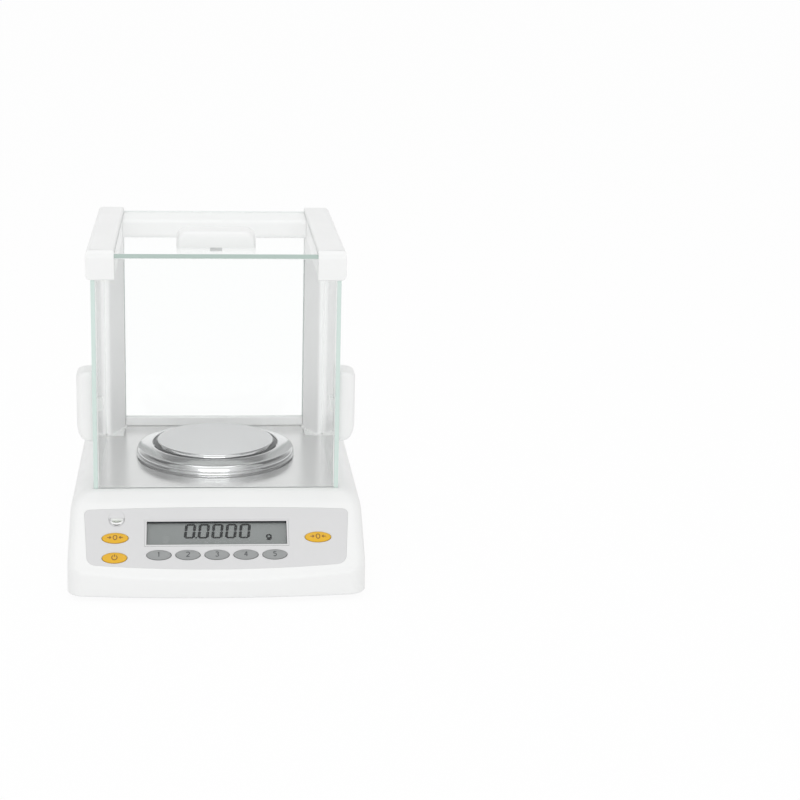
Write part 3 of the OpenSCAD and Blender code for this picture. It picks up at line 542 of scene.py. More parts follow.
def rings_mesh(name: str, rings: Sequence[Sequence[Point]], caps: bool = True) -> Mesh:
    """Joins closed rings of equal count into a skin.

    Args:
        name: The mesh's name.
        rings: The rings, in order.
        caps: Whether the first and the last ring are closed with a face.

    Returns:
        The mesh, with its faces pointing outwards.
    """
    count, work = len(rings[0]), bmesh.new()
    rows = [[work.verts.new(p) for p in ring] for ring in rings]
    for low, high in zip(rows, rows[1:]):
        for i in range(count):
            work.faces.new((low[i], low[(i + 1) % count], high[(i + 1) % count], high[i]))
    if caps:
        work.faces.new(rows[0])
        work.faces.new(rows[-1])
    bmesh.ops.remove_doubles(work, verts=work.verts, dist=1e-7)
    bmesh.ops.recalc_face_normals(work, faces=work.faces)
    return made(name, work)


def joined(name: str, meshes: Sequence[Mesh]) -> Mesh:
    """Puts several meshes into one, and removes them.

    Args:
        name: The new mesh's name.
        meshes: The meshes.

    Returns:
        The new mesh.
    """
    work = bmesh.new()
    for mesh in meshes:
        work.from_mesh(mesh)
        bpy.data.meshes.remove(mesh)
    return made(name, work)


def oval(rx: float, ry: float, start: float = 0.0, end: float = 360.0, count: int = 20,
         at: Spot = (0.0, 0.0)) -> list[Spot]:
    """Gives points along an oval or a part of it, with both ends.

    Args:
        rx: Half its width.
        ry: Half its height.
        start: Where it starts, in degrees.
        end: Where it ends.
        count: Steps along it.
        at: Its middle.

    Returns:
        The points.
    """
    turns = [math.radians(start + (end - start) * i / count) for i in range(count + 1)]
    return [(at[0] + rx * math.cos(a), at[1] + ry * math.sin(a)) for a in turns]


def quarter(share: float) -> float:
    """Gives how far a quarter circle falls at a share of its reach, from 1 at its start to 0 at its end."""
    return 1 - math.sqrt(max(0.0, 1 - max(0.0, 1 - share) ** 2))


def lathe(name: str, profile: Sequence[Spot], centre: Spot, count: int) -> Mesh:
    """Turns an outline round an upright axis.

    Args:
        name: The mesh's name.
        profile: The outline as radius and height. It starts and ends on the axis, or is closed here.
        centre: The axis' place.
        count: Points in each ring.

    Returns:
        The mesh.
    """
    around = list(profile) + ([profile[0]] if profile[0][0] > 0 else [])
    rings = [[(*p, z) for p in oval(r, r, count=count, at=centre)[:-1]] for r, z in around]
    return rings_mesh(name, rings, False)


def prism(name: str, outline: Sequence[Spot], low: float, high: float) -> Mesh:
    """Raises a flat outline into a block along Z."""
    return rings_mesh(name, [[(x, y, z) for x, y in outline] for z in (low, high)])


def block(name: str, low: Point, high: Point) -> Mesh:
    """Makes a plain box, for cutting or as a flat strip."""
    return prism(name, [low[:2], (high[0], low[1]), high[:2], (low[0], high[1])], low[2], high[2])


def arc_corner(a: Vector, p: Vector, b: Vector, radius: float, count: int) -> list[Spot]:
    """Rounds one corner of a flat outline.

    Args:
        a: The point before the corner.
        p: The corner.
        b: The point after it.
        radius: The rounding's radius.
        count: Steps along it.

    Returns:
        The points of the arc.
    """
    ua, ub = (a - p).normalized(), (b - p).normalized()
    half = ua.angle(ub) / 2
    centre = p + (ua + ub).normalized() * radius / math.sin(half)
    start, end = (p + u * radius / math.tan(half) - centre for u in (ua, ub))
    first = math.atan2(start.y, start.x)
    turn = (math.atan2(end.y, end.x) - first + 3 * math.pi) % (2 * math.pi) - math.pi
    return oval(radius, radius, math.degrees(first), math.degrees(first + turn), count, tuple(centre))


def rounded(points: Sequence[Point], count: int = 10) -> list[Spot]:
    """Rounds the corners of a closed flat outline.

    Args:
        points: The corners, each with its radius.
        count: Steps along each rounding.

    Returns:
        The rounded outline.
    """
    flat = [Vector(p[:2]) for p in points]
    result: list[Spot] = []
    for i, (x, y, radius) in enumerate(points):
        after = flat[(i + 1) % len(flat)]
        result += arc_corner(flat[i - 1], flat[i], after, radius, count) if radius > 0 else [(x, y)]
    return result


def strokes_mesh(name: str, strokes: Sequence[Sequence[Spot]], width: float,
                 lift: Callable[[float, float], float] | None = None) -> Mesh:
    """Draws lines of ink as thin bands.

    Args:
        name: The mesh's name.
        strokes: Polylines in the print's own plane.
        width: The lines' width.
        lift: Gives the height of the surface at a place, where it isn't flat.

    Returns:
        The mesh, in the print's own plane.
    """
    work = bmesh.new()
    for stroke in strokes:
        path = [Vector(p) for p in stroke]
        closed = (path[0] - path[-1]).length < 1e-9
        if closed:
            path.pop()
        rows: list[list[bmesh.types.BMVert]] = []
        for i, p in enumerate(path):
            before = path[i - 1] if i or closed else p
            after = path[(i + 1) % len(path)] if i + 1 < len(path) or closed else p
            along = (after - before).normalized()
            side = Vector((-along.y, along.x)) * width / 2
            rows.append([work.verts.new((q.x, q.y, lift(q.x, q.y) if lift else 0.0)) for q in (p - side, p + side)])
        for i in range(len(rows) if closed else len(rows) - 1):
            (a, b), (c, d) = rows[i], rows[(i + 1) % len(rows)]
            work.faces.new((a, c, d, b))
    bmesh.ops.recalc_face_normals(work, faces=work.faces)
    if sum(f.normal.z for f in work.faces) < 0:
        bmesh.ops.reverse_faces(work, faces=work.faces)
    return made(name, work)


def flat_mesh(name: str, faces: Sequence[Sequence[Spot]]) -> Mesh:
    """Makes separate flat faces that face up.

    Args:
        name: The mesh's name.
        faces: The faces' corners.

    Returns:
        The mesh.
    """
    work = bmesh.new()
    for corners in faces:
        face = work.faces.new([work.verts.new((*p, 0)) for p in corners])
        face.normal_update()
        if face.normal.z < 0:
            face.normal_flip()
    return made(name, work)


def rows_of(name: str, unit: Mesh, rows: dict[str, tuple[int, Point]], pitch: float, finish: str) -> Mesh:
    """Sets copies of a small flat shape in rows along X, with Geometry Nodes.

    Args:
        name: What the rows are called.
        unit: The shape.
        rows: Each row's name, the number of its copies and where it starts.
        pitch: The step from copy to copy.
        finish: The copies' finish.

    Returns:
        The rows as one mesh.
    """
    counts = {label: count for label, (count, _) in rows.items()}
    values = {"Pitch": pitch, **counts}
    tree, source, sink = new_group(name, TreeKind.GEOMETRY, {"Geometry": None, **values}, ("Geometry",))
    pattern, holder = scratch(name + " unit", unit), scratch(name, bpy.data.meshes.new(name))
    step = add(tree, "ShaderNodeCombineXYZ", {"X": source.outputs["Pitch"]}).outputs[0]
    shape = add(tree, "GeometryNodeObjectInfo", {"Object": pattern}).outputs["Geometry"]
    join = add(tree, "GeometryNodeJoinGeometry")
    for label, (_, start) in rows.items():
        line = add(tree, "GeometryNodeMeshLine", {
            "Count": source.outputs[label], "Start Location": start, "Offset": step})
        row = add(tree, "GeometryNodeInstanceOnPoints", {"Points": line.outputs["Mesh"], "Instance": shape})
        tree.links.new(row.outputs["Instances"], join.inputs[0])
    real = add(tree, "GeometryNodeRealizeInstances", {0: join.outputs[0]})
    paint = add(tree, "GeometryNodeSetMaterial", {"Geometry": real.outputs[0], "Material": PALETTE[finish]})
    tree.links.new(paint.outputs[0], sink.inputs[0])
    modifier = holder.modifiers.new("rows", "NODES")
    modifier.node_group = tree
    sockets = {s.name: s.identifier for s in tree.interface.items_tree if s.in_out == "INPUT"}
    for label, value in values.items():
        modifier[sockets[label]] = value
    mesh = applied(holder)
    bpy.data.objects.remove(pattern)
    return mesh


def dress(finish: str, *nodes: str) -> None:
    """Gives CAD nodes that stay as they are a finish.

    Args:
        finish: The finish.
        nodes: The nodes' names.
    """
    for node in nodes:
        for slot in frame["nodes"][node].material_slots:
            slot.material = PALETTE[finish]
        LOG.info("%s: CAD shape in %s", node, finish)


def dress_copy(finish: str, width: float, *nodes: str) -> None:
    """Shows CAD nodes with rounded edges and a finish."""
    for node in nodes:
        new_piece(node + "_shape", softened(node_mesh(node), width), [finish], node, True)


# Sub-assemblies


@dataclass
class ControlSlope:
    """The sloping plane of the control panel, with its own frame: across, up the slope, and out.

    Attributes:
        lip_y: The lip's foremost place.
        lip_h: Height of the slope's lower edge.
        angle: The slope, in degrees.
    """

    lip_y: float
    lip_h: float = 20.4 * MM
    angle: float = 37.0

    def matrix(self) -> Matrix:
        """Gives the transform from the panel's frame to the balance's."""
        return Matrix.Translation((0, self.lip_y, self.lip_h)) @ Matrix.Rotation(math.radians(self.angle), 4, "X")

    def place(self, mesh: Mesh, x: float = 0.0, s: float = 0.0, out: float = 0.0) -> Mesh:
        """Moves a mesh from its own frame to a place on the panel.

        Args:
            mesh: The mesh.
            x: Its place across.
            s: Its place up the slope.
            out: Its height off the slope.

        Returns:
            The same mesh.
        """
        mesh.transform(self.matrix() @ Matrix.Translation((x, s, out)))
        mesh.update()
        return mesh

    def reshaped(self, node: str, move: Callable[[Vector], None]) -> Mesh:
        """Copies a CAD node's mesh and moves its points in the panel's frame.

        Args:
            node: The node's name.
            move: Changes a point.

        Returns:
            A new mesh.
        """
        mesh, there = node_mesh(node), self.matrix()
        back = there.inverted()
        for point in mesh.vertices:
            p = back @ point.co
            move(p)
            point.co = there @ p
        return mesh


@dataclass
class Housing:
    """The white moulding, lofted in level rings from the skirt to the deck.

    Attributes:
        slope: The control panel's plane.
        wall: Thickness of the moulding.
        draft: How far the sides lean in.
        bow: How far the lip's ends lie behind its middle.
        soft: Reach of the rounding along the lip.
        hem: Height of the rounding along the skirt.
        hem_lean: How far it draws in, beside its height.
        side_r: Rounding from the sides to the deck.
        rear_r: Rounding from the rear wall to the deck.
        brow_r: Rounding from the slope to the brow.
        deck_r: Rounding from the brow to the deck.
        corner_low: Corner radius at the lip.
        corner_high: Corner radius on the slope.
        corner_run: Height over which the one becomes the other.
        corner_rear: Rear corner radius.
        glass_back: How far the front pane stands behind the lip.
        brow_back: How far the brow starts before that pane.
        deck_lead: How far the deck starts before it.
        run_in: How far the slope's line starts before the lip.
        low_rings: Heights of the lowest rings over the skirt's edge, in millimetres.
        lip_rings: The span of the close rings round the lip, in millimetres.
        face_rings: How many rings lie between these and the rounding to the deck.
        turn_rings: Turns of the rings along that rounding, in degrees.
        steps: Steps along half the front, a side, half the rear and a corner.
        fascia_gap: Play round the fascia.
        pocket_deep: Depth of its pocket.
        play: Play round what passes through the moulding.
        past: How far a cutter reaches past the skin.
        rear_deep: How far the rear holes go in.
        sockets: The nodes in the rear wall, and how far each one's hole stands off at its sides and its ends.
        notch: Half the width of the wheels' notches, and their height.
        groove: Half the width of the doors' grooves, and their depth.
    """

    slope: ControlSlope
    wall: float = 3 * MM
    draft: float = 1 * MM
    bow: float = 7 * MM
    soft: float = 5 * MM
    hem: float = 0.8 * MM
    hem_lean: float = 0.8
    side_r: float = 12 * MM
    rear_r: float = 8 * MM
    brow_r: float = 30 * MM
    deck_r: float = 12 * MM
    corner_low: float = 12 * MM
    corner_high: float = 8 * MM
    corner_run: float = 10 * MM
    corner_rear: float = 12 * MM
    glass_back: float = 73.3 * MM
    brow_back: float = 17 * MM
    deck_lead: float = 5 * MM
    run_in: float = 50 * MM
    low_rings: tuple[float, ...] = (0, 0.3, 0.8, 3, 6, 9)
    lip_rings: tuple[int, int] = (-6, 12)
    face_rings: int = 8
    turn_rings: tuple[float, ...] = (0, 8, 16, 24, 32, 40, 48, 56, 64, 71, 78, 84, 90)
    steps: tuple[int, int, int, int] = (16, 10, 8, 10)
    fascia_gap: float = 0.05 * MM
    pocket_deep: float = 1.25 * MM
    play: float = 0.3 * MM
    past: float = 10 * MM
    rear_deep: float = 4 * MM
    sockets: tuple[tuple[str, float, float], ...] = (
        ("data_port", 0.3 * MM, 0.3 * MM), ("power_jack", -1.2 * MM, -1.2 * MM), ("lock_lug", -2.9 * MM, 0.1 * MM))
    notch: Spot = (22.9 * MM, 21.2 * MM)
    groove: Spot = (2.6 * MM, 2.2 * MM)

    def __post_init__(self) -> None:
        """Reads the moulding's box from the frame."""
        low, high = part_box("upper_housing")
        self.half_w, self.lip_y, self.rear_y = high[0], low[1], high[1]
        self.skirt_z, self.deck_z = low[2], high[2]
        self.glass_y = self.lip_y + self.glass_back

    def slope_line(self) -> list[Spot]:
        """Gives the middle of the front from below the lip to the deck.

        Returns:
            The points, as Y and Z.
        """
        brow, lip = self.glass_y - self.brow_back, self.slope.lip_h
        rise = math.tan(math.radians(self.slope.angle))
        return rounded([
            (self.lip_y - self.run_in, lip - self.run_in * rise, 0),
            (brow, lip + (brow - self.lip_y) * rise, self.brow_r),
            (self.glass_y - self.deck_lead, self.deck_z, self.deck_r),
            (self.rear_y, self.deck_z, 0)], count=12)[:-1]

    def slope_y(self, z: float) -> float:
        """Gives the slope's place along Y at a height.

        Args:
            z: The height.

        Returns:
            The place.
        """
        line = self.slope_line()
        for (y0, z0), (y1, z1) in zip(line, line[1:]):
            if z0 <= z <= z1 and z1 > z0:
                return y0 + (y1 - y0) * (z - z0) / (z1 - z0)
        return line[-1][0]

    def levels(self) -> list[float]:
        """Gives the heights of the rings.

        Returns:
            The heights, from the lowest.
        """
        first, last = self.lip_rings
        lip, start = self.slope.lip_h, self.deck_z - self.side_r
        low = [self.skirt_z + d * MM for d in self.low_rings]
        near = [lip + d * MM for d in range(first, last)]
        face = [lip + last * MM + (start - lip - last * MM) * i / self.face_rings for i in range(self.face_rings)]
        turn = [start + self.side_r * math.sin(math.radians(a)) for a in self.turn_rings]
        return sorted(set(low + near + face + turn))

    def drawn_in(self, z: float, r: float) -> float:
        """Gives how far a rounding to the deck draws a wall in at a height."""
        return r * quarter((self.deck_z - z) / r)

    def ring(self, z: float, d: float) -> list[Point]:
        """Gives one level ring of the moulding.

        Args:
            z: The height on the outer skin.
            d: How far the ring lies inside it.

        Returns:
            The ring's points.
        """
        front_n, side_n, rear_n, bend_n = self.steps
        up = z - self.skirt_z
        foot = 0.0 if d else max(0.0, self.hem - up) * self.hem_lean
        lean = self.draft * up / (self.deck_z - self.skirt_z)
        half = self.half_w - lean - self.drawn_in(z, self.side_r) - d - foot
        blend = min(1.0, max(0.0, (z - self.slope.lip_h) / self.corner_run))
        corner = self.corner_low + (self.corner_high - self.corner_low) * blend
        right = oval(corner, corner, -90, 0, bend_n, (half - corner, corner))
        level = [((half - corner) * (i / front_n - 1), 0.0) for i in range(1, 2 * front_n)]
        slope = self.slope_y(z) + d / math.sin(math.radians(self.slope.angle))
        points: list[Point] = []
        # The front follows the lip or the slope, whichever is further back, with a blend between
        for x, round_back in [(-x, y) for x, y in reversed(right)] + level + right:
            lip = self.lip_y + self.bow * (x / self.half_w) ** 2 + d + foot
            gap = max(0.0, self.soft - abs(lip - slope)) / self.soft
            points.append((x, max(lip, slope) + gap * gap * self.soft / 4 + round_back, z))
        side, r = points[-1][1], self.corner_rear
        rear = self.rear_y - self.drawn_in(z, self.rear_r) - d
        back = [(half, side + (rear - r - side) * i / side_n) for i in range(1, side_n)]
        back += oval(r, r, 0, 90, bend_n, (half - r, rear - r))
        wall = [((half - r) * (1 - i / rear_n), rear) for i in range(1, 2 * rear_n)]
        return points + [(x, y, z) for x, y in back + wall + [(-x, y) for x, y in reversed(back)]]

    def shell(self) -> Mesh:
        """Makes the open-bottomed moulding before its holes.

        Returns:
            The mesh.
        """
        scale = (self.deck_z - self.wall - self.skirt_z) / (self.deck_z - self.skirt_z)
        outer = [self.ring(z, 0.0) for z in reversed(self.levels())]
        inner = [[(x, y, self.skirt_z + (z - self.skirt_z) * scale) for x, y, z in self.ring(level, self.wall)]
                 for level in self.levels()]
        return rings_mesh("moulding", outer + inner)

    def rear_hole(self, left: float, right: float, low: float, high: float) -> Mesh:
        """Makes the cutter of a square hole in the rear wall."""
        return block("rear hole", (left, self.rear_y - self.rear_deep, low), (right, self.rear_y + self.past, high))

    def floor_pocket(self) -> Mesh:
        """Makes the cutter of the chamber floor's pocket, which is narrower between the pillars.

        Returns:
            The cutter.
        """
        gap, side_gap, pillar_gap, sill_gap = 0.25 * MM, 0.98 * MM, 0.7 * MM, 0.2 * MM
        low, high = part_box("chamber_floor")
        wide, neck = high[0] + side_gap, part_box("left_pillar")[0][1] - pillar_gap
        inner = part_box("rear_sill")[1][0] + sill_gap
        right = [(wide, low[1] - gap), (wide, neck), (inner, neck), (inner, high[1] + gap)]
        return prism("floor pocket", right + [(-x, y) for x, y in reversed(right)], low[2], self.deck_z + 2 * self.past)

    def holes(self, panel: "ControlPanel") -> Mesh:
        """Makes what is cut out of the moulding, apart from the fascia's pocket.

        Args:
            panel: The control panel, for its holes.

        Returns:
            The cutters as one mesh.
        """
        holes = panel.holes(self.play) + [self.floor_pocket()]
        for node, wide, tall in self.sockets:
            low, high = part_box(node)
            holes.append(self.rear_hole(low[0] - wide, high[0] + wide, low[2] - tall, high[2] + tall))
        for side in Side:
            (half, top), (slit, deep) = self.notch, self.groove
            wheel, door = middle(f"foot_screw_{side.value}").x, middle(f"{side.value}_door_glass").x
            holes.append(self.rear_hole(wheel - half, wheel + half, self.skirt_z - self.past, top))
            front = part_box(f"{side.value}_door_glass")[0][1] - self.play
            holes.append(block("door groove", (door - slit, front, self.deck_z - deep),
                               (door + slit, self.rear_y + self.past, self.deck_z + self.past)))
        return joined("holes", holes)

    def build(self, panel: "ControlPanel") -> None:
        """Makes the moulding and stands it in for its CAD solid.

        Args:
            panel: The control panel.
        """
        outline = panel.outline(self.fascia_gap)
        pocket = self.slope.place(prism("pocket", outline, -self.pocket_deep, 3 * self.past))
        mesh = cut(cut(self.shell(), pocket), self.holes(panel))
        new_piece("housing_moulding", softened(mesh, sharp=28), ["white moulding"], "upper_housing", True)


@dataclass
class KeyCap:
    """One oval key with a domed top and its printed sign.

    Attributes:
        node: The CAD node that it stands for.
        x: Its place across the panel.
        s: Its place up the slope.
        length: The length of its CAD solid, twice the height.
        finish: Its finish.
        print_finish: The finish of its sign.
        mark: Its sign.
        wide: Its length beside the solid's.
        tall: Its height up the slope beside the solid's.
        shoulder: Where its side ends, off the slope.
        soft: Rounding from the side to the top.
        turn_step: Degrees from ring to ring along it.
        crown: How far the top's middle stands over its edge.
        crown_rings: Sizes of the rings on the top, beside its edge.
        stem_r: Radius of the stem below.
        stem_low: The stem's lower end, off the slope.
        flange: The flange's lower and upper face, off the slope.
        flange_w: How far the flange stands out.
        sign_size: The sign's size beside its drawing.
        sign_w: Width of its lines.
        sign_step: Steps along them.
        ink: Height of the ink over the top.
    """

    node: str
    x: float
    s: float
    length: float
    finish: str
    print_finish: str
    mark: Mark
    wide: float = 0.94
    tall: float = 0.87
    shoulder: float = -0.05 * MM
    soft: float = 0.7 * MM
    turn_step: int = 15
    crown: float = 0.55 * MM
    crown_rings: tuple[float, ...] = (0.9, 0.75, 0.55, 0.3, 0.08)
    stem_r: float = 2 * MM
    stem_low: float = -8.4 * MM
    flange: Spot = (-4.1 * MM, -3.3 * MM)
    flange_w: float = 1 * MM
    sign_size: float = 1.2
    sign_w: float = 0.75 * MM
    sign_step: float = 0.3 * MM
    ink: float = 0.02 * MM

    def half(self, grow: float = 0.0) -> Spot:
        """Gives half the cap's length and half its height."""
        return self.length / 2 * self.wide + grow, self.length / 4 * self.tall + grow

    def top(self, x: float, y: float) -> float:
        """Gives the height of the key's top over the slope at a place."""
        a, b = self.half(-self.soft)
        return self.shoulder + self.soft + self.crown * (1 - min(1.0, (x / a) ** 2 + (y / b) ** 2))

    def drawing(self) -> list[list[Spot]]:
        """Gives the sign's lines about the key's middle, in millimetres.

        Returns:
            The polylines.
        """
        h, w = 1.7, 1.0
        arrow = ([(5, 0), (2.6, 0)], [(3.6, 0.9), (2.6, 0), (3.6, -0.9)])
        arrows = [[(turn * x, y) for x, y in line] for turn in (-1, 1) for line in arrow]
        return {
            Mark.ZERO: [oval(1.2, h)] + arrows,
            Mark.POWER: [oval(1.7, 1.7, 120, 420, at=(0, -0.2)), [(0, 0.3), (0, 2.1)]],
            Mark.ONE: [[(-0.6, 0.6 * h), (0, h), (0, -h)]],
            Mark.TWO: [oval(w, w, 160, -40, at=(0, h - w)) + [(-w, -h), (w, -h)]],
            Mark.THREE: [oval(0.9 * w, h / 2, 150, -90, at=(0, h / 2)), oval(w, h / 2, 90, -150, at=(0, -h / 2))],
            Mark.FOUR: [[(0.5 * w, -h), (0.5 * w, h), (-w, -0.4 * h), (w, -0.4 * h)]],
            Mark.FIVE: [[(0.9 * w, h), (-0.7 * w, h), (-0.8 * w, 0.1 * h)],
                        oval(w, 0.6 * h, 130, -140, at=(-0.1 * w, -0.4 * h))],
        }[self.mark]

    def signs(self) -> list[list[Spot]]:
        """Gives the sign's lines at their real size, in steps that follow the domed top.

        Returns:
            The polylines.
        """
        lines: list[list[Spot]] = []
        for line in self.drawing():
            path = [Vector(p) * self.sign_size * MM for p in line]
            points = [tuple(path[0])]
            for a, b in zip(path, path[1:]):
                count = max(1, round((b - a).length / self.sign_step))
                points += [tuple(a.lerp(b, (i + 1) / count)) for i in range(count)]
            lines.append(points)
        return lines

    def build(self, slope: ControlSlope) -> None:
        """Makes the key and its sign.

        Args:
            slope: The control panel's plane.
        """
        stem, body, wide = (self.stem_r, self.stem_r), self.half(), self.half(self.flange_w)
        low, high = self.flange
        steps = [(*stem, self.stem_low), (*stem, low), (*wide, low), (*wide, high), (*body, high)]
        steps.append((*body, self.shoulder))
        for turn in (math.radians(a) for a in range(self.turn_step, 91, self.turn_step)):
            steps.append((*self.half(self.soft * (math.cos(turn) - 1)), self.shoulder + self.soft * math.sin(turn)))
        a, b = self.half(-self.soft)
        steps += [(a * t, b * t, self.top(a * t, 0)) for t in self.crown_rings]
        cap = rings_mesh(self.node, [[(*p, z) for p in oval(rx, ry, count=KEY_POINTS)[:-1]] for rx, ry, z in steps])
        cap = smooth(slope.place(cap, self.x, self.s))
        new_piece(self.node + "_cap", cap, [self.finish], self.node, True)
        sign = strokes_mesh("sign", self.signs(), self.sign_w, lambda x, y: self.top(x, y) + self.ink)
        new_piece(self.node + "_sign", slope.place(sign, self.x, self.s), [self.print_finish], self.node)


@dataclass(frozen=True)
class FasciaEdge:
    """The fascia's bowed lower or upper edge.

    Attributes:
        out: The way out of the fascia: -1 below and 1 above.
        half: Half its length.
        middle: Its middle's place up the slope.
        end: Its ends' place.
        corner: The radius of its corners.
    """

    out: int
    half: float
    middle: float
    end: float
    corner: float

    def points(self, grow: float) -> list[Point]:
        """Gives the edge from its left to its right end, each point with its corner radius.

        Args:
            grow: How far outside the fascia it lies.

        Returns:
            The points.
        """
        count = 12
        steps = [-count, *range(2 - count, count - 1), count]
        base, rise = self.middle + self.out * grow, self.end - self.middle
        return [((self.half + grow) * i / count, base + rise * (i / count) ** 2,
                 self.corner if abs(i) == count else 0.0) for i in steps]


@dataclass
class Display:
    """The display's frame and its reading.

    Attributes:
        slope: The panel's plane.
        s: The opening's middle up the slope.
        size: Its width and height.
        rim: Width of the frame round it.
        rim_grow: How far the rim is drawn out, to close the gap to the fascia.
        rim_aim: How squarely a face looks out of the slope to be of the rim's front.
        deep: How far the cell lies below the slope.
        ink: Height of the reading over the cell.
        digit: A figure's width and height, between its strokes' middles.
        count: How many figures there are.
        pitch: The step from figure to figure.
        start: The first figure's middle, across and up the slope.
        lean: How far the figures lean, beside their height.
        level_w: Width of a figure's level strokes.
        upright_w: Width of its upright strokes.
        gap: Half the gap between strokes.
        tip: Length of a stroke's tips, beside the level width.
        point: Side of the decimal point.
        unit: The unit sign's middle, across and up the slope.
        unit_r: Radius of its bowl.
        unit_w: Width of its lines.
    """

    slope: ControlSlope
    s: float = 41.7 * MM
    size: Spot = (108.6 * MM, 21.5 * MM)
    rim: float = 1.2 * MM
    rim_grow: float = 0.24 * MM
    rim_aim: float = 0.8
    deep: float = 2.5 * MM
    ink: float = 0.05 * MM
    digit: Spot = (6.5 * MM, 12 * MM)
    count: int = 5
    pitch: float = 10.64 * MM
    start: Spot = (-20.75 * MM, 44.75 * MM)
    lean: float = 0.1
    level_w: float = 1.5 * MM
    upright_w: float = 2.3 * MM
    gap: float = 0.05 * MM
    tip: float = 0.4
    point: float = 1.4 * MM
    unit: Spot = (40.4 * MM, 39.7 * MM)
    unit_r: float = 1.6 * MM
    unit_w: float = 1.35 * MM

    def half(self, grow: float) -> Spot:
        """Gives half the width and half the height of the frame, grown by some width."""
        return self.size[0] / 2 + self.rim + grow, self.size[1] / 2 + self.rim + grow

    def hole(self, grow: float, reach: float = 20 * MM) -> Mesh:
        """Makes the cutter of the display's hole."""
        w, h = self.half(grow)
        return self.slope.place(block("display hole", (-w, -h, -reach), (w, h, reach)), 0, self.s)

    def figure(self) -> Mesh:
        """Makes one seven-segment zero, in the display's plane.

        Returns:
            The mesh.
        """
        w, h = (size / 2 for size in self.digit)
        corners = [Vector(p) for p in ((-w, h), (w, h), (w, 0), (w, -h), (-w, -h), (-w, 0))]
        faces: list[list[Spot]] = []
        for start, end in zip(corners, corners[1:] + corners[:1]):
            along = (end - start).normalized()
            side = Vector((-along.y, along.x)) * (self.upright_w if abs(along.y) > 0.5 else self.level_w) / 2
            tip, a, b = along * self.level_w * self.tip, start + along * self.gap, end - along * self.gap
            bar = (a, a + tip + side, b - tip + side, b, b - tip - side, a + tip - side)
            faces.append([(p.x + self.lean * p.y, p.y) for p in bar])
        return flat_mesh("figure", faces)

    def build_reading(self) -> None:
        """Prints the figures, the point and the unit sign."""
        row = rows_of("figures in a row", self.figure(), {"Count": (self.count, (0, 0, 0))}, self.pitch, "lcd ink")
        (x, s), r = self.unit, self.unit_r
        stem = [(x + a * r, s + b * r) for a, b in ((1, 1), (1, -1.3), (0.6, -1.8), (-0.5, -1.8), (-1, -1.5))]
        letter = strokes_mesh("unit sign", [oval(r, r, count=18, at=(x, s)), stem], self.unit_w)
        low, half = -self.digit[1] / 2, self.point / 2
        x, s = self.start[0] + self.pitch / 2 + self.lean * low, self.start[1] + low
        dot = strokes_mesh("point", [[(x - half, s), (x + half, s)]], self.point)
        out = self.ink - self.deep
        parts = [self.slope.place(row, *self.start, out)] + [self.slope.place(m, out=out) for m in (letter, dot)]
        new_piece("display_reading", joined("reading", parts), ["lcd ink"], "lcd_cell")

    def build_frame(self) -> None:
        """Makes the frame, whose rim closes the gap to the fascia."""
        face, flush, foot, near = -0.4 * MM, -0.02 * MM, -3 * MM, 0.01 * MM
        wide, high = self.half(-near)

        def move(p: Vector) -> None:
            """Brings the face up to the slope, and draws the rim out.

            Args:
                p: A point in the panel's frame.
            """
            p.z = flush if p.z > face else p.z
            up = p.y - self.s
            if p.z > foot and abs(p.x) > wide:
                p.x += math.copysign(self.rim_grow, p.x)
            if p.z > foot and abs(up) > high:
                p.y += math.copysign(self.rim_grow, up)

        out = (self.slope.matrix().to_3x3() @ Vector((0, 0, 1))).normalized()
        rim = softened(self.slope.reshaped("display_frame", move), 0.12 * MM)
        new_piece("display_frame_shape", rim, ["frame black", "fascia grey"], "display_frame", True,
                  lambda p: int(p.normal.dot(out) > self.rim_aim))


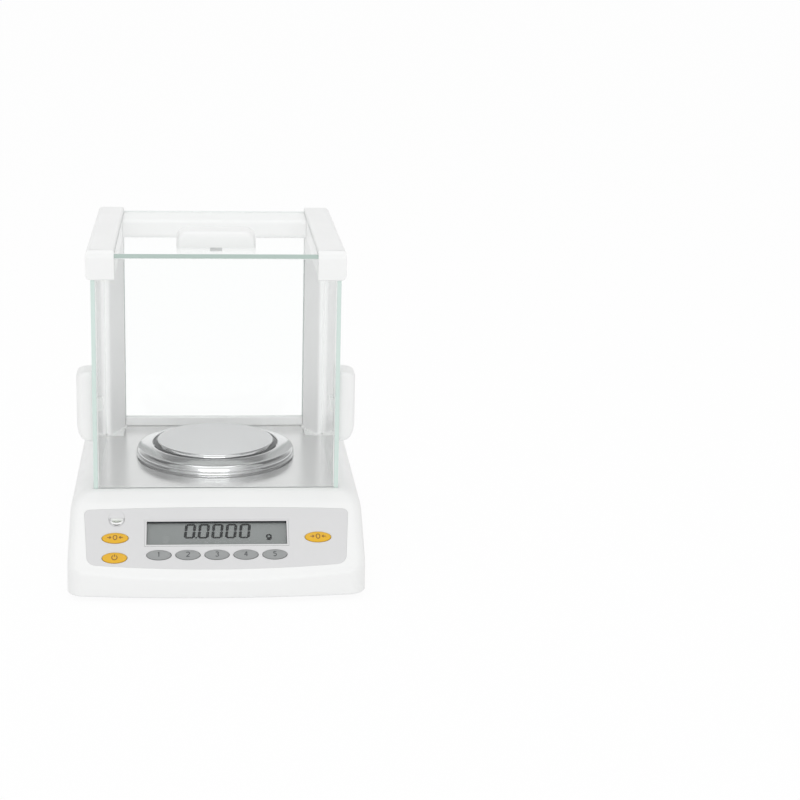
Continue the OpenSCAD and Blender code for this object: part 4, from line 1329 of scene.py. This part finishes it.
@dataclass
class BubbleLevel:
    """The bubble level, upright in the slope, and the cover over the rear half of its well.

    Attributes:
        slope: The panel's plane.
        x: Its middle, across.
        s: Its middle up the slope.
        well_r: Radius of its well.
        well_reach: Half the height of the well's cutter.
        lens_r: Radius of its lens.
        lens_deep: How deep the lens is sunk.
        dome: Height of the lens's dome.
        ring_r: Radius of the ring under the lens.
        ring_w: Width of that ring.
        ink: Height of the ring over the lens's seat.
        hood_s: How far behind the level's middle the cover starts.
        hood_gap: How far the cover reaches past the well.
        hood_t: Thickness of the cover.
    """

    slope: ControlSlope
    x: float = -77.7 * MM
    s: float = 55.6 * MM
    well_r: float = 5.9 * MM
    well_reach: float = 14 * MM
    lens_r: float = 3.7 * MM
    lens_deep: float = 1.2 * MM
    dome: float = 0.3 * MM
    ring_r: float = 1.9 * MM
    ring_w: float = 0.25 * MM
    ink: float = 0.05 * MM
    hood_s: float = 0.45 * MM
    hood_gap: float = 0.25 * MM
    hood_t: float = 1 * MM

    def hole(self, grow: float) -> Mesh:
        """Makes the cutter of the level's upright well.

        Args:
            grow: The play around it.

        Returns:
            The cutter.
        """
        r, (x, y, z) = self.well_r + grow, self.slope.matrix() @ Vector((self.x, self.s, 0))
        outline = oval(r, r, count=KEY_POINTS, at=(x, y))[:-1]
        return prism("level hole", outline, z - self.well_reach, z + self.well_reach)

    def build_vial(self) -> None:
        """Makes the white vial, the clear lens on it and the ring under the lens, with the vial's side below a band
        painted black as a shadow.
        """
        low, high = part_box("level_vial")
        centre, top, r, lens = middle("level_vial")[:2], high[2], (high[0] - low[0]) / 2, self.lens_r
        seat, shadow_band_top, edge, turn = top - self.lens_deep, top - 1.1 * MM, 0.5 * MM, 0.15 * MM
        steep = 0.5
        vial = lathe("vial", [
            (0.0, low[2]), (r, low[2]), (r, shadow_band_top), (r, top - edge), (r - turn, top - turn), (r - edge, top),
            (lens, top), (lens, seat), (0.0, seat)], centre, VIAL_POINTS)
        # The vial's side below the band is painted black, a painted shadow in the gap at the well's front; its white is
        # whitened as painted light
        new_piece("level_vial_body", smooth(vial), ["white with painted light", "frame black"], "level_vial", True,
                  lambda p: int(p.center[2] < shadow_band_top and abs(p.normal[2]) < steep))
        foot, play = seat + 0.1 * MM, 0.02 * MM
        dome = oval(lens, self.dome, 0, 90, 6, (0, top - self.dome))
        clear = lathe("lens", [(0.0, foot), (lens - play, foot)] + dome, centre, VIAL_POINTS)
        new_piece("level_lens", smooth(clear), ["level liquid"], "level_vial")
        circle = strokes_mesh("level ring", [oval(self.ring_r, self.ring_r, count=36)], self.ring_w)
        circle.transform(Matrix.Translation((*centre, seat + self.ink)))
        new_piece("level_ring", circle, ["print grey"], "level_vial")

    def build_hood(self) -> None:
        """Makes the cover, flush with the fascia, and the wall under its edge."""
        flush, wall_top, wall_t, wall_in, overlap = -0.03 * MM, -0.6 * MM, 0.8 * MM, 0.3 * MM, 0.05 * MM
        across = self.well_r + self.hood_gap
        up = across / math.cos(math.radians(self.slope.angle))
        start = math.degrees(math.asin(self.hood_s / up))
        lid = softened(prism("level hood", oval(across, up, start, 180 - start, 24), -self.hood_t, flush), 0.15 * MM)
        low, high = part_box("level_vial")
        edge = self.slope.matrix() @ Vector((self.x, self.s + self.hood_s, wall_top))
        wall = block("level wall", (low[0] + wall_in, edge.y, high[2] - overlap),
                     (high[0] - wall_in, edge.y + wall_t, edge.z))
        # The wall is in the whiter white, painted light where the cover shades it
        new_piece("level_hood_wall", wall, ["white with painted light"], "control_fascia")
        new_piece("level_hood", self.slope.place(lid, self.x, self.s), ["fascia grey"], "control_fascia")


@dataclass
class ControlPanel:
    """The fascia with its keys, display and bubble level.

    Attributes:
        slope: The panel's plane.
        lower: The fascia's lower edge.
        upper: Its upper edge.
        key_gap: Play round each key in the fascia.
        zero_l: Length of the yellow keys.
        zero_x: Their place across, on either side.
        zero_s: Place of the zero keys up the slope.
        power_s: Place of the power key.
        power_wide: Its length beside its solid's.
        grey_l: Length of the grey keys.
        grey_s: Their place up the slope.
        grey_pitch: The step from one to the next.
    """

    slope: ControlSlope
    lower: FasciaEdge = FasciaEdge(-1, 99.3 * MM, 8 * MM, 12.7 * MM, 8 * MM)
    upper: FasciaEdge = FasciaEdge(1, 103.3 * MM, 65.8 * MM, 63.8 * MM, 4.5 * MM)
    key_gap: float = 0.35 * MM
    zero_l: float = 21.5 * MM
    zero_x: float = 78.5 * MM
    zero_s: float = 37.2 * MM
    power_s: float = 19 * MM
    power_wide: float = 0.885
    grey_l: float = 20 * MM
    grey_s: float = 21.3 * MM
    grey_pitch: float = 22.3 * MM

    def __post_init__(self) -> None:
        """Sets the display, the level and the keys in the slope."""
        self.display, self.level = Display(self.slope), BubbleLevel(self.slope)
        yellow, grey = (self.zero_l, "key yellow", "print brown"), (self.grey_l, "key grey", "print grey")
        self.keys = [KeyCap("key_zero_left", -self.zero_x, self.zero_s, *yellow, Mark.ZERO),
                     KeyCap("key_power", -self.zero_x, self.power_s, *yellow, Mark.POWER, wide=self.power_wide),
                     KeyCap("key_zero_right", self.zero_x, self.zero_s, *yellow, Mark.ZERO)]
        for i, mark in enumerate((Mark.ONE, Mark.TWO, Mark.THREE, Mark.FOUR, Mark.FIVE)):
            self.keys.append(KeyCap(f"key_{mark.value}", (i - 2) * self.grey_pitch, self.grey_s, *grey, mark))

    def outline(self, grow: float) -> list[Spot]:
        """Gives the fascia's outline in the slope, grown by some width."""
        return rounded(self.lower.points(grow) + self.upper.points(grow)[::-1], count=8)

    def holes(self, grow: float) -> list[Mesh]:
        """Makes the cutters for what passes through the moulding.

        Args:
            grow: The play around each.

        Returns:
            The cutters.
        """
        low, high = -8 * MM, 10 * MM
        meshes = [self.display.hole(grow), self.level.hole(grow)]
        for key in self.keys:
            hole = prism("key hole", oval(*key.half(grow), count=KEY_POINTS)[:-1], low, high)
            meshes.append(self.slope.place(hole, key.x, key.s))
        return meshes

    def build_fascia(self) -> None:
        """Makes the fascia, with its key holes close around the caps."""
        near = 0.03

        def move(p: Vector) -> None:
            """Brings a point on a key hole's edge close to the cap.

            Args:
                p: The point, in the panel's frame.
            """
            for key in self.keys:
                x, y = p.x - key.x, p.y - key.s
                a, b = key.length / 2 + self.key_gap, key.length / 4 + self.key_gap
                if abs(math.hypot(x / a, y / b) - 1) < near:
                    new_a, new_b = key.half(self.key_gap)
                    p.x, p.y = key.x + x * new_a / a, key.s + y * new_b / b

        mesh = softened(self.slope.reshaped("control_fascia", move), 0.2 * MM)
        new_piece("control_fascia_shape", mesh, ["fascia grey"], "control_fascia", True)

    def build(self) -> None:
        """Makes and dresses the panel."""
        self.build_fascia()
        self.level.build_hood()
        self.display.build_frame()
        dress("frame black", "key_switches")
        dress("lcd grey green", "lcd_cell")
        dress("window clear", "display_window")
        dress("board green", "key_board")
        dress("fascia grey", "level_cup")
        self.display.build_reading()
        self.level.build_vial()
        for key in self.keys:
            key.build(self.slope)


@dataclass
class Pane:
    """One glass pane with green polished edges.

    Attributes:
        node: The CAD node that it stands for.
        thin: The axis across its thickness.
        front: The finish of the edge that faces the user.
        side: The finish of its other edges.
        bevel: Width of the ground edge.
        face_aim: How squarely a face looks across the pane to be clear.
        front_aim: How squarely an edge looks forward to be the front one.
    """

    node: str
    thin: Axis
    front: str = "pane edge"
    side: str = "pale edge"
    bevel: float = 0.35 * MM
    face_aim: float = 0.9
    front_aim: float = -0.5

    def zone(self, face: bpy.types.MeshPolygon) -> int:
        """Tells the pane's clear faces from its front edge and its other edges."""
        edge = 1 if face.normal[1] < self.front_aim else 2
        return 0 if abs(face.normal[self.thin.value]) > self.face_aim else edge

    def build(self) -> None:
        """Makes the pane from the CAD solid, with its edges marked."""
        mesh = softened(node_mesh(self.node), self.bevel, segments=1, least=60)
        mesh.polygons.foreach_set("use_smooth", [False] * len(mesh.polygons))
        new_piece(self.node + "_pane", mesh, ["pane glass", self.front, self.side], self.node, True, self.zone)


@dataclass
class Grip:
    """One door's moulded grip, with soft edges and, on a side door, a longer rounding at its lower end.

    Attributes:
        node: The CAD node that it stands for.
        out: The direction in which it stands out.
        along: The direction of its length, towards its squarer end.
        edge: Rounding along its sides.
        square: Rounding of its squarer end.
        taper: Reach of the rounding at its other end.
        corner: Rounding of its corners, seen from outside.
        loss: How much of its height its ends lose.
        edge_most: The most of its height that the rounding along its sides takes.
        edge_steps: Steps along that rounding.
        end_steps: Steps along the rounding of each end.
    """

    node: str
    out: Point
    along: Point
    edge: float = 5 * MM
    square: float = 4 * MM
    taper: float = 4 * MM
    corner: float = 3 * MM
    loss: float = 0.62
    edge_most: float = 0.8
    edge_steps: int = 9
    end_steps: int = 14

    def station(self, t: float, length: float, depth: float, height: float) -> list[Point]:
        """Gives the outline across the grip at one place of its length.

        Args:
            t: The place, from 0 at the tapered end to the length.
            length: The grip's length.
            depth: Its size across.
            height: How far it stands out.

        Returns:
            The outline's points, as along, across and out.
        """
        high = height * (1 - self.loss * quarter(min(t / self.taper, (length - t) / self.square)))
        half = depth / 2 - self.corner * quarter(min(t, length - t) / self.corner)
        r, count = min(self.edge, high * self.edge_most), self.edge_steps
        left, right = oval(r, r, 180, 90, count, (r - half, high - r)), oval(r, r, 90, 0, count, (half - r, high - r))
        return [(t, y, z) for y, z in [(-half, 0.0), *left, *right, (half, 0.0)]]

    def build(self) -> None:
        """Makes the grip in its CAD solid's place."""
        low, high = (Vector(p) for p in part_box(self.node))
        out, along = Vector(self.out), Vector(self.along)
        across = out.cross(along)
        length, depth, height = (abs((high - low).dot(v)) for v in (along, across, out))
        start = middle(self.node) - out * height / 2 - along * length / 2
        steps = [1 - math.cos(math.pi / 2 * i / self.end_steps) for i in range(self.end_steps + 1)]
        stations = [self.taper * s for s in steps] + [length - self.square * s for s in reversed(steps)]
        rings = [[tuple(start + along * a + across * b + out * c) for a, b, c in self.station(t, length, depth, height)]
                 for t in stations]
        new_piece(self.node + "_moulding", smooth(rings_mesh(self.node, rings), 50), ["white gloss"], self.node, True)


@dataclass
class DraftShield:
    """The panes, the frame that holds them and the doors' grips.

    Attributes:
        panes: The glass panes.
        grips: The doors' grips.
        pillar_flat: Length of a pillar's inner face.
        pillar_nose: Width of its nose.
        pillar_nose_r: Rounding of its nose.
        pillar_r: Rounding of its inner edge.
        pillar_reach: How far its outer face is brought to the door.
        highlight_aim: How squarely a face looks forward to get the pillar's painted highlight, a lighter paint.
        trim_w: Width of the strip along its foot.
        trim_h: Height of that strip.
    """

    panes: tuple[Pane, ...] = (
        Pane("front_glass", Axis.Y, "clear edge", "clear edge"), Pane("rear_glass", Axis.Y),
        Pane("left_door_glass", Axis.X), Pane("right_door_glass", Axis.X), Pane("top_glass", Axis.Z, "deep edge"))
    grips: tuple[Grip, ...] = (
        Grip("left_door_grip", (-1, 0, 0), (0, 0, 1), taper=15 * MM),
        Grip("right_door_grip", (1, 0, 0), (0, 0, 1), taper=15 * MM),
        Grip("top_grip", (0, 0, 1), (1, 0, 0), square=9 * MM, taper=9 * MM))
    pillar_flat: float = 30 * MM
    pillar_nose: float = 3.7 * MM
    pillar_nose_r: float = 5.6 * MM
    pillar_r: float = 1.6 * MM
    pillar_reach: float = 0.25 * MM
    highlight_aim: float = -0.88
    trim_w: float = 1.3 * MM
    trim_h: float = 1.2 * MM

    def build_foot_trim(self, node: str) -> None:
        """Makes the thin strip on the floor along a pillar's inner faces.

        Args:
            node: The pillar's name.
        """
        low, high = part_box(node)
        inner, outer = sorted((low[0], high[0]), key=abs)
        turn, wide, lift = math.copysign(1.0, inner), self.trim_w, 0.02 * MM
        side, front = inner - turn * wide, low[1] - wide
        outline = rounded([
            (outer, front, 0), (outer - turn * self.pillar_nose, front, self.pillar_nose_r + wide),
            (side, high[1] - self.pillar_flat - wide / 2, self.pillar_r + wide),
            (side, high[1], 0), (outer, high[1], 0)])
        strip = prism(node + " trim", outline, low[2] + lift, low[2] + self.trim_h)
        # The strip is in the whiter white, painted light in the shaded chamber
        new_piece(node + "_trim", softened(strip, 0.2 * MM), ["white with painted light"], node)

    def build_pillar(self, node: str) -> None:
        """Makes a pillar, whose outer face lies close to its door, with its forward faces in a lighter paint as a
        painted highlight.

        Args:
            node: The pillar's name.
        """
        mesh = softened(widened(node_mesh(node), self.pillar_reach), sharp=30)
        # Faces that look forward get the lighter paint, a painted highlight on the nose
        new_piece(node + "_shape", mesh, ["pillar paint", "pillar nose highlight"], node, True,
                  lambda p: int(p.normal[1] < self.highlight_aim))

    def build(self) -> None:
        """Makes and dresses the draft shield."""
        for pane in self.panes:
            pane.build()
        dress_copy("white moulding", 0.8 * MM, "left_rail", "right_rail", "rear_hood")
        # The sill is in the whiter white, painted light in the shaded chamber
        dress_copy("white with painted light", 1.2 * MM, "rear_sill")
        for side in Side:
            self.build_pillar(f"{side.value}_pillar")
            self.build_foot_trim(f"{side.value}_pillar")
        for grip in self.grips:
            grip.build()
        dress_copy("white gloss", 0.4 * MM, "left_door_clamp", "right_door_clamp")
        dress_copy("clamp grey", 0.4 * MM, "top_clamp")
        dress("white moulding", "door_guides")
        dress("plated steel", "pillar_screws")


@dataclass
class WeighingPlace:
    """The chamber's floor, the shield disc and the pan.

    Attributes:
        count: Points round the pan and the disc.
        rim_r: Rounding of the pan's edge.
        flange_w: How far the flange stands out under it.
        hub_r: Radius of the pan's hub.
        bore_r: Radius of the hub's bore.
        sheet: Thickness of the pan's sheet.
        bore_top: How far the bore ends below the pan's face.
        disc_r: The radius at which the disc's outline is drawn, in millimetres.
        disc: The disc's outline in millimetres, from its hole's top outwards and back under: radius and height.
        spread: How far the floor's sides are drawn out to the doors.
        lip_up: Height of the strips beside the floor over it.
        lip_deep: How far they go into it.
    """

    count: int = 192
    rim_r: float = 0.8 * MM
    flange_w: float = 2.9 * MM
    hub_r: float = 9 * MM
    bore_r: float = 5.1 * MM
    sheet: float = 1.2 * MM
    bore_top: float = 2 * MM
    disc_r: float = 66.0
    disc: tuple[Spot, ...] = (
        (17, 7.2), (51.6, 7.2), (52, 7.35), (52.25, 8.5), (52.45, 10), (52.6, 10.6), (52.85, 10.9), (53.3, 11),
        (54.5, 10.75), (57, 10.1), (59, 9.58), (61, 9.06), (62.5, 8.65), (63.4, 8.35), (64.2, 7.85), (64.9, 7.1),
        (65.4, 6.1), (65.7, 5), (65.8, 4.2), (65.75, 3.3), (65.5, 3), (65.75, 2.7), (65.95, 2.3), (66, 1.9),
        (65.95, 1.5), (65.8, 1.15), (65.2, 0.9), (64, 0.85), (63.9, 0.02), (63, 0.02), (63.2, 1.8), (64.4, 3.2),
        (64.6, 4.6), (64.2, 5.8), (63.4, 6.8), (62, 7.6), (59, 8.5), (56, 9.3), (53.8, 9.9),
        (53.3, 9), (52.9, 6.2), (17, 6.2))
    spread: float = 0.9 * MM
    lip_up: float = 0.03 * MM
    lip_deep: float = 0.4 * MM

    def build_pan(self, centre: Spot) -> None:
        """Makes the pan, with a bright edge and a flange under it painted dark as the shadow in the gap to the disc.

        Args:
            centre: The pan's middle.
        """
        (left, _, low), (right, _, top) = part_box("weighing_pan")
        r, soft, seam, inset = (right - left) / 2, self.rim_r, 0.15 * MM, 1 * MM
        wall = r - self.flange_w
        face = [(0.0, top)] + [(wall - back * MM, top) for back in (3, 1.5)]
        # A radius, and millimetres out from it and down from the face
        edge = [(wall, 0, 2.3), (wall, 0.1, 2.6), (wall, 0.4, 2.75), (r, -0.3, 2.9), (r, 0, 3.1), (r, -0.3, 3.4),
                (wall, 0, 3.4), (wall, -0.8, 2.9)]
        under, roof = top - self.sheet, top - self.bore_top
        hub = [(wall - inset, under), (self.hub_r, under), (self.hub_r, low), (self.bore_r, low), (self.bore_r, roof),
               (0.0, roof)]
        profile = face + oval(soft, soft, 90, 0, 9, (wall - soft, top - soft))
        profile += [(base + out * MM, top - down * MM) for base, out, down in edge] + hub
        inner, outer = wall - soft, wall + seam

        def zone(face: bpy.types.MeshPolygon) -> int:
            """Tells the pan's face from its bright edge and the flange below it, which is painted dark as shadow."""
            out = math.hypot(face.center[0] - centre[0], face.center[1] - centre[1])
            return 2 if out > outer else int(out > inner)

        # The flange takes the dark steel, a painted shadow under the pan's edge
        pan = smooth(lathe("pan", profile, centre, self.count))
        new_piece("weighing_pan_dish", pan, ["pan steel", "polished steel", "painted shadow steel"], "weighing_pan", True, zone)

    def build_disc(self, centre: Spot) -> None:
        """Makes the shield disc, which fits the radius of its CAD solid.

        Args:
            centre: The disc's middle.
        """
        low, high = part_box("shield_disc")
        scale = (high[0] - low[0]) / 2 / self.disc_r
        disc = lathe("disc", [(a * scale, low[2] + z * MM) for a, z in self.disc], centre, self.count)
        new_piece("shield_disc_dish", smooth(disc), ["disc steel"], "shield_disc", True)

    def build_floor(self) -> None:
        """Makes the chamber's floor and the strips that close the slits between it and the doors."""
        node, gap, overlap = "chamber_floor", 0.05 * MM, 0.2 * MM
        plate = smooth(widened(node_mesh(node), self.spread), 30)
        low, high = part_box(node)
        deck = max(v.co.z for v in plate.vertices)
        door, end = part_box("right_door_glass")[0][0] - gap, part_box("right_pillar")[0][1] - 2 * gap
        for side, turn in zip(Side, (-1, 1)):
            left, right = sorted((turn * (high[0] + self.spread - overlap), turn * door))
            strip = block("floor lip", (left, low[1], deck - self.lip_deep), (right, end, deck + self.lip_up))
            new_piece(f"floor_lip_{side.value}", strip, ["chamber floor"], node)
        new_piece("chamber_floor_plate", plate, ["chamber floor"], node, True)

    def build(self) -> None:
        """Makes and dresses the pan, the disc and the floor."""
        centre = middle("weighing_pan")[:2]
        self.build_pan(centre)
        self.build_disc(centre)
        self.build_floor()


@dataclass
class Inside:
    """What lies under the deck, below the tray and on the rear wall.

    Attributes:
        contact_r: Radius of the data port's contacts.
        contact_pitch: The step from contact to contact.
        contact_rise: How far each row lies from the port's middle.
        contact_count: Contacts in the longer row.
        contact_up: Height of the contacts over the port's face.
    """

    contact_r: float = 0.55 * MM
    contact_pitch: float = 2.76 * MM
    contact_rise: float = 1.42 * MM
    contact_count: int = 13
    contact_up: float = 0.03 * MM

    def build_contacts(self) -> None:
        """Makes the data port's two rows of contacts."""
        pitch, rise, count = self.contact_pitch, self.contact_rise, self.contact_count
        unit = flat_mesh("contact", [oval(self.contact_r, self.contact_r, count=16)[:-1]])
        rows = {"Upper count": (count, (0, rise, 0)), "Lower count": (count - 1, (pitch / 2, -rise, 0))}
        mesh = rows_of("rows of contacts", unit, rows, pitch, "frame black")
        x, _, z = middle("data_port")
        face = Matrix.Translation((x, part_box("data_port")[1][1] + self.contact_up, z))
        upright = Matrix.Rotation(math.pi / 2, 4, "X") @ Matrix.Rotation(math.pi, 4, "Y")
        mesh.transform(face @ upright @ Matrix.Translation((-(count - 1) / 2 * pitch, 0, 0)))
        new_piece("port_contacts", mesh, ["frame black"], "data_port")

    def build(self) -> None:
        """Dresses the inner and lower solids."""
        dress("tray grey", "base_tray")
        dress("foot rubber", "front_feet", "foot_pad_left", "foot_pad_right")
        dress("wheel grey", "foot_screw_left", "foot_screw_right")
        dress("plated steel", "housing_screws", "lock_lug", "data_port")
        dress("board green", "main_board", "connector_board")
        dress("frame black", "power_jack", "position_sensor")
        dress("cell alloy", "cell_base", "cell_column", "load_receiver", "cell_lever")
        dress("guide bronze", "guide_plates")
        dress("magnet iron", "magnet_pot")
        dress("coil copper", "cell_coil")
        self.build_contacts()


@dataclass(frozen=True)
class Lamp:
    """One soft square lamp.

    Attributes:
        name: The lamp's name.
        place: Where it hangs.
        target: What it points at.
        size: Its side.
        power: Its power in watts.
    """

    name: str
    place: Point
    target: Point
    size: float
    power: float

    def build(self) -> None:
        """Hangs the lamp."""
        data = bpy.data.lights.new(self.name, "AREA")
        data.shape, data.size, data.energy = "SQUARE", self.size, self.power
        lamp = bpy.data.objects.new(self.name, data)
        lamp.location = self.place
        lamp.rotation_euler = (Vector(self.target) - Vector(self.place)).to_track_quat("-Z", "Y").to_euler()
        bpy.context.scene.collection.objects.link(lamp)


@dataclass
class Studio:
    """The floor, the soft light and the camera.

    Attributes:
        lens: Focal length in millimetres.
        sensor: Width of the camera's sensor in millimetres.
        shift: The camera's shift to the right, as a share of the frame's width.
        stand: How far the camera stands before the front pane.
        height: The camera's height.
        pitch: How far it looks down, in degrees.
        aside: How far it stands to the right of the middle.
        turn: How far it turns to the left, in degrees.
        lean: How far it leans to its left as it turns, in degrees.
        floor_half: Half the floor's side.
        floor_tone: The floor's own tone.
        floor_glow: How much of the floor is plain white where it is seen.
        light: The surround's strength as light.
        roof_tone: The tone of its roof in reflections.
        roof_span: The upward aims over which the roof starts.
        front_span: The rearward aims over which it starts, since the front has none.
        side_tone: The tone of its sides in reflections.
        side_span: The sideways aims over which the sides start.
        lamps: The lamps.
    """

    lens: float = 84.23
    sensor: float = 36.0
    shift: float = 0.1
    stand: float = 1.419
    height: float = 0.523
    pitch: float = 15.025
    aside: float = -0.014
    turn: float = -3.615
    lean: float = -0.857
    floor_half: float = 12.0
    floor_tone: float = 0.92
    floor_glow: float = 0.95
    light: float = 0.8
    roof_tone: float = 0.3
    roof_span: Spot = (0.3, 0.6)
    front_span: Spot = (-0.3, 0.1)
    side_tone: float = 0.45
    side_span: Spot = (0.4, 0.75)
    lamps: tuple[Lamp, ...] = (
        Lamp("top lamp", (-0.1, 0.0, 1.7), (0, 0, 0.1), 1.2, 5.0),
        Lamp("front lamp", (-0.1, -2.3, 0.5), (0, 0, 0.12), 1.8, 12.5))

    def build_camera(self, glass_y: float) -> None:
        """Sets the camera at the photograph's view.

        Args:
            glass_y: The front pane's place.
        """
        data = bpy.data.cameras.new("view")
        data.lens, data.sensor_width, data.shift_x = self.lens, self.sensor, self.shift
        data.clip_start, data.clip_end = 0.05, 60.0
        camera = bpy.data.objects.new("view", data)
        bpy.context.scene.collection.objects.link(camera)
        camera.location = (self.aside, glass_y - self.stand, self.height)
        camera.rotation_euler = [math.radians(a) for a in (90 - self.pitch, self.lean, self.turn)]
        bpy.context.scene.camera = camera

    def build_floor(self) -> None:
        """Makes the pale floor, which the camera sees as white with the balance's shadow."""
        half, thick = self.floor_half, 0.02
        mesh = block("floor", (-half, -half, -thick), (half, half, 0))
        material = bpy.data.materials.new("floor paint")
        tree = new_tree(material)
        paint = add(tree, "ShaderNodeBsdfDiffuse", {"Color": (*[self.floor_tone] * 3, 1)})
        glow = add(tree, "ShaderNodeEmission", {"Color": (1, 1, 1, 1), "Strength": 1.0})
        share = maths(tree, "MULTIPLY", seen_rays(tree, add(tree, "ShaderNodeLightPath")), self.floor_glow)
        mix = add(tree, "ShaderNodeMixShader", {0: share, 1: paint.outputs[0], 2: glow.outputs[0]})
        add(tree, "ShaderNodeOutputMaterial", {"Surface": mix.outputs[0]})
        mesh.materials.append(material)
        scratch("floor", mesh)

    def build_world(self) -> None:
        """Makes the surround: white where it is seen, with grey in reflections, and even and dimmer as light."""
        world = bpy.data.worlds.new("surround")
        bpy.context.scene.world = world
        tree = new_tree(world)
        path = add(tree, "ShaderNodeLightPath")
        aim = add(tree, "ShaderNodeSeparateXYZ", {0: add(tree, "ShaderNodeTexCoord").outputs["Generated"]}).outputs
        roof = ramp(tree, aim["Z"], self.roof_span, (1.0, self.roof_tone))
        front = ramp(tree, aim["Y"], self.front_span, (1.0, 0.0))
        sides = ramp(tree, maths(tree, "ABSOLUTE", aim["X"]), self.side_span, (1.0, self.side_tone))
        room = maths(tree, "MULTIPLY", maths(tree, "MAXIMUM", roof, front), sides)
        mirrored = ramp(tree, path.outputs["Glossy Depth"], (0.0, 1.0), (1.0, room))
        level = ramp(tree, seen_rays(tree, path), (0.0, 1.0), (self.light, mirrored))
        light = add(tree, "ShaderNodeBackground", {"Color": (1, 1, 1, 1), "Strength": level})
        add(tree, "ShaderNodeOutputWorld", {"Surface": light.outputs[0]})

    def build(self, glass_y: float) -> None:
        """Sets up the whole studio.

        Args:
            glass_y: The front pane's place.
        """
        bpy.context.scene.view_settings.view_transform = "Standard"
        self.build_camera(glass_y)
        self.build_floor()
        self.build_world()
        for lamp in self.lamps:
            lamp.build()


def main() -> None:
    """Builds the balance piece by piece."""
    logging.basicConfig(level=logging.INFO, format="%(message)s")
    slope = ControlSlope(lip_y=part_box("upper_housing")[0][1])
    housing, panel = Housing(slope), ControlPanel(slope)
    Studio().build(housing.glass_y)
    housing.build(panel)
    panel.build()
    DraftShield().build()
    WeighingPlace().build()
    Inside().build()


if __name__ == "__main__":
    main()
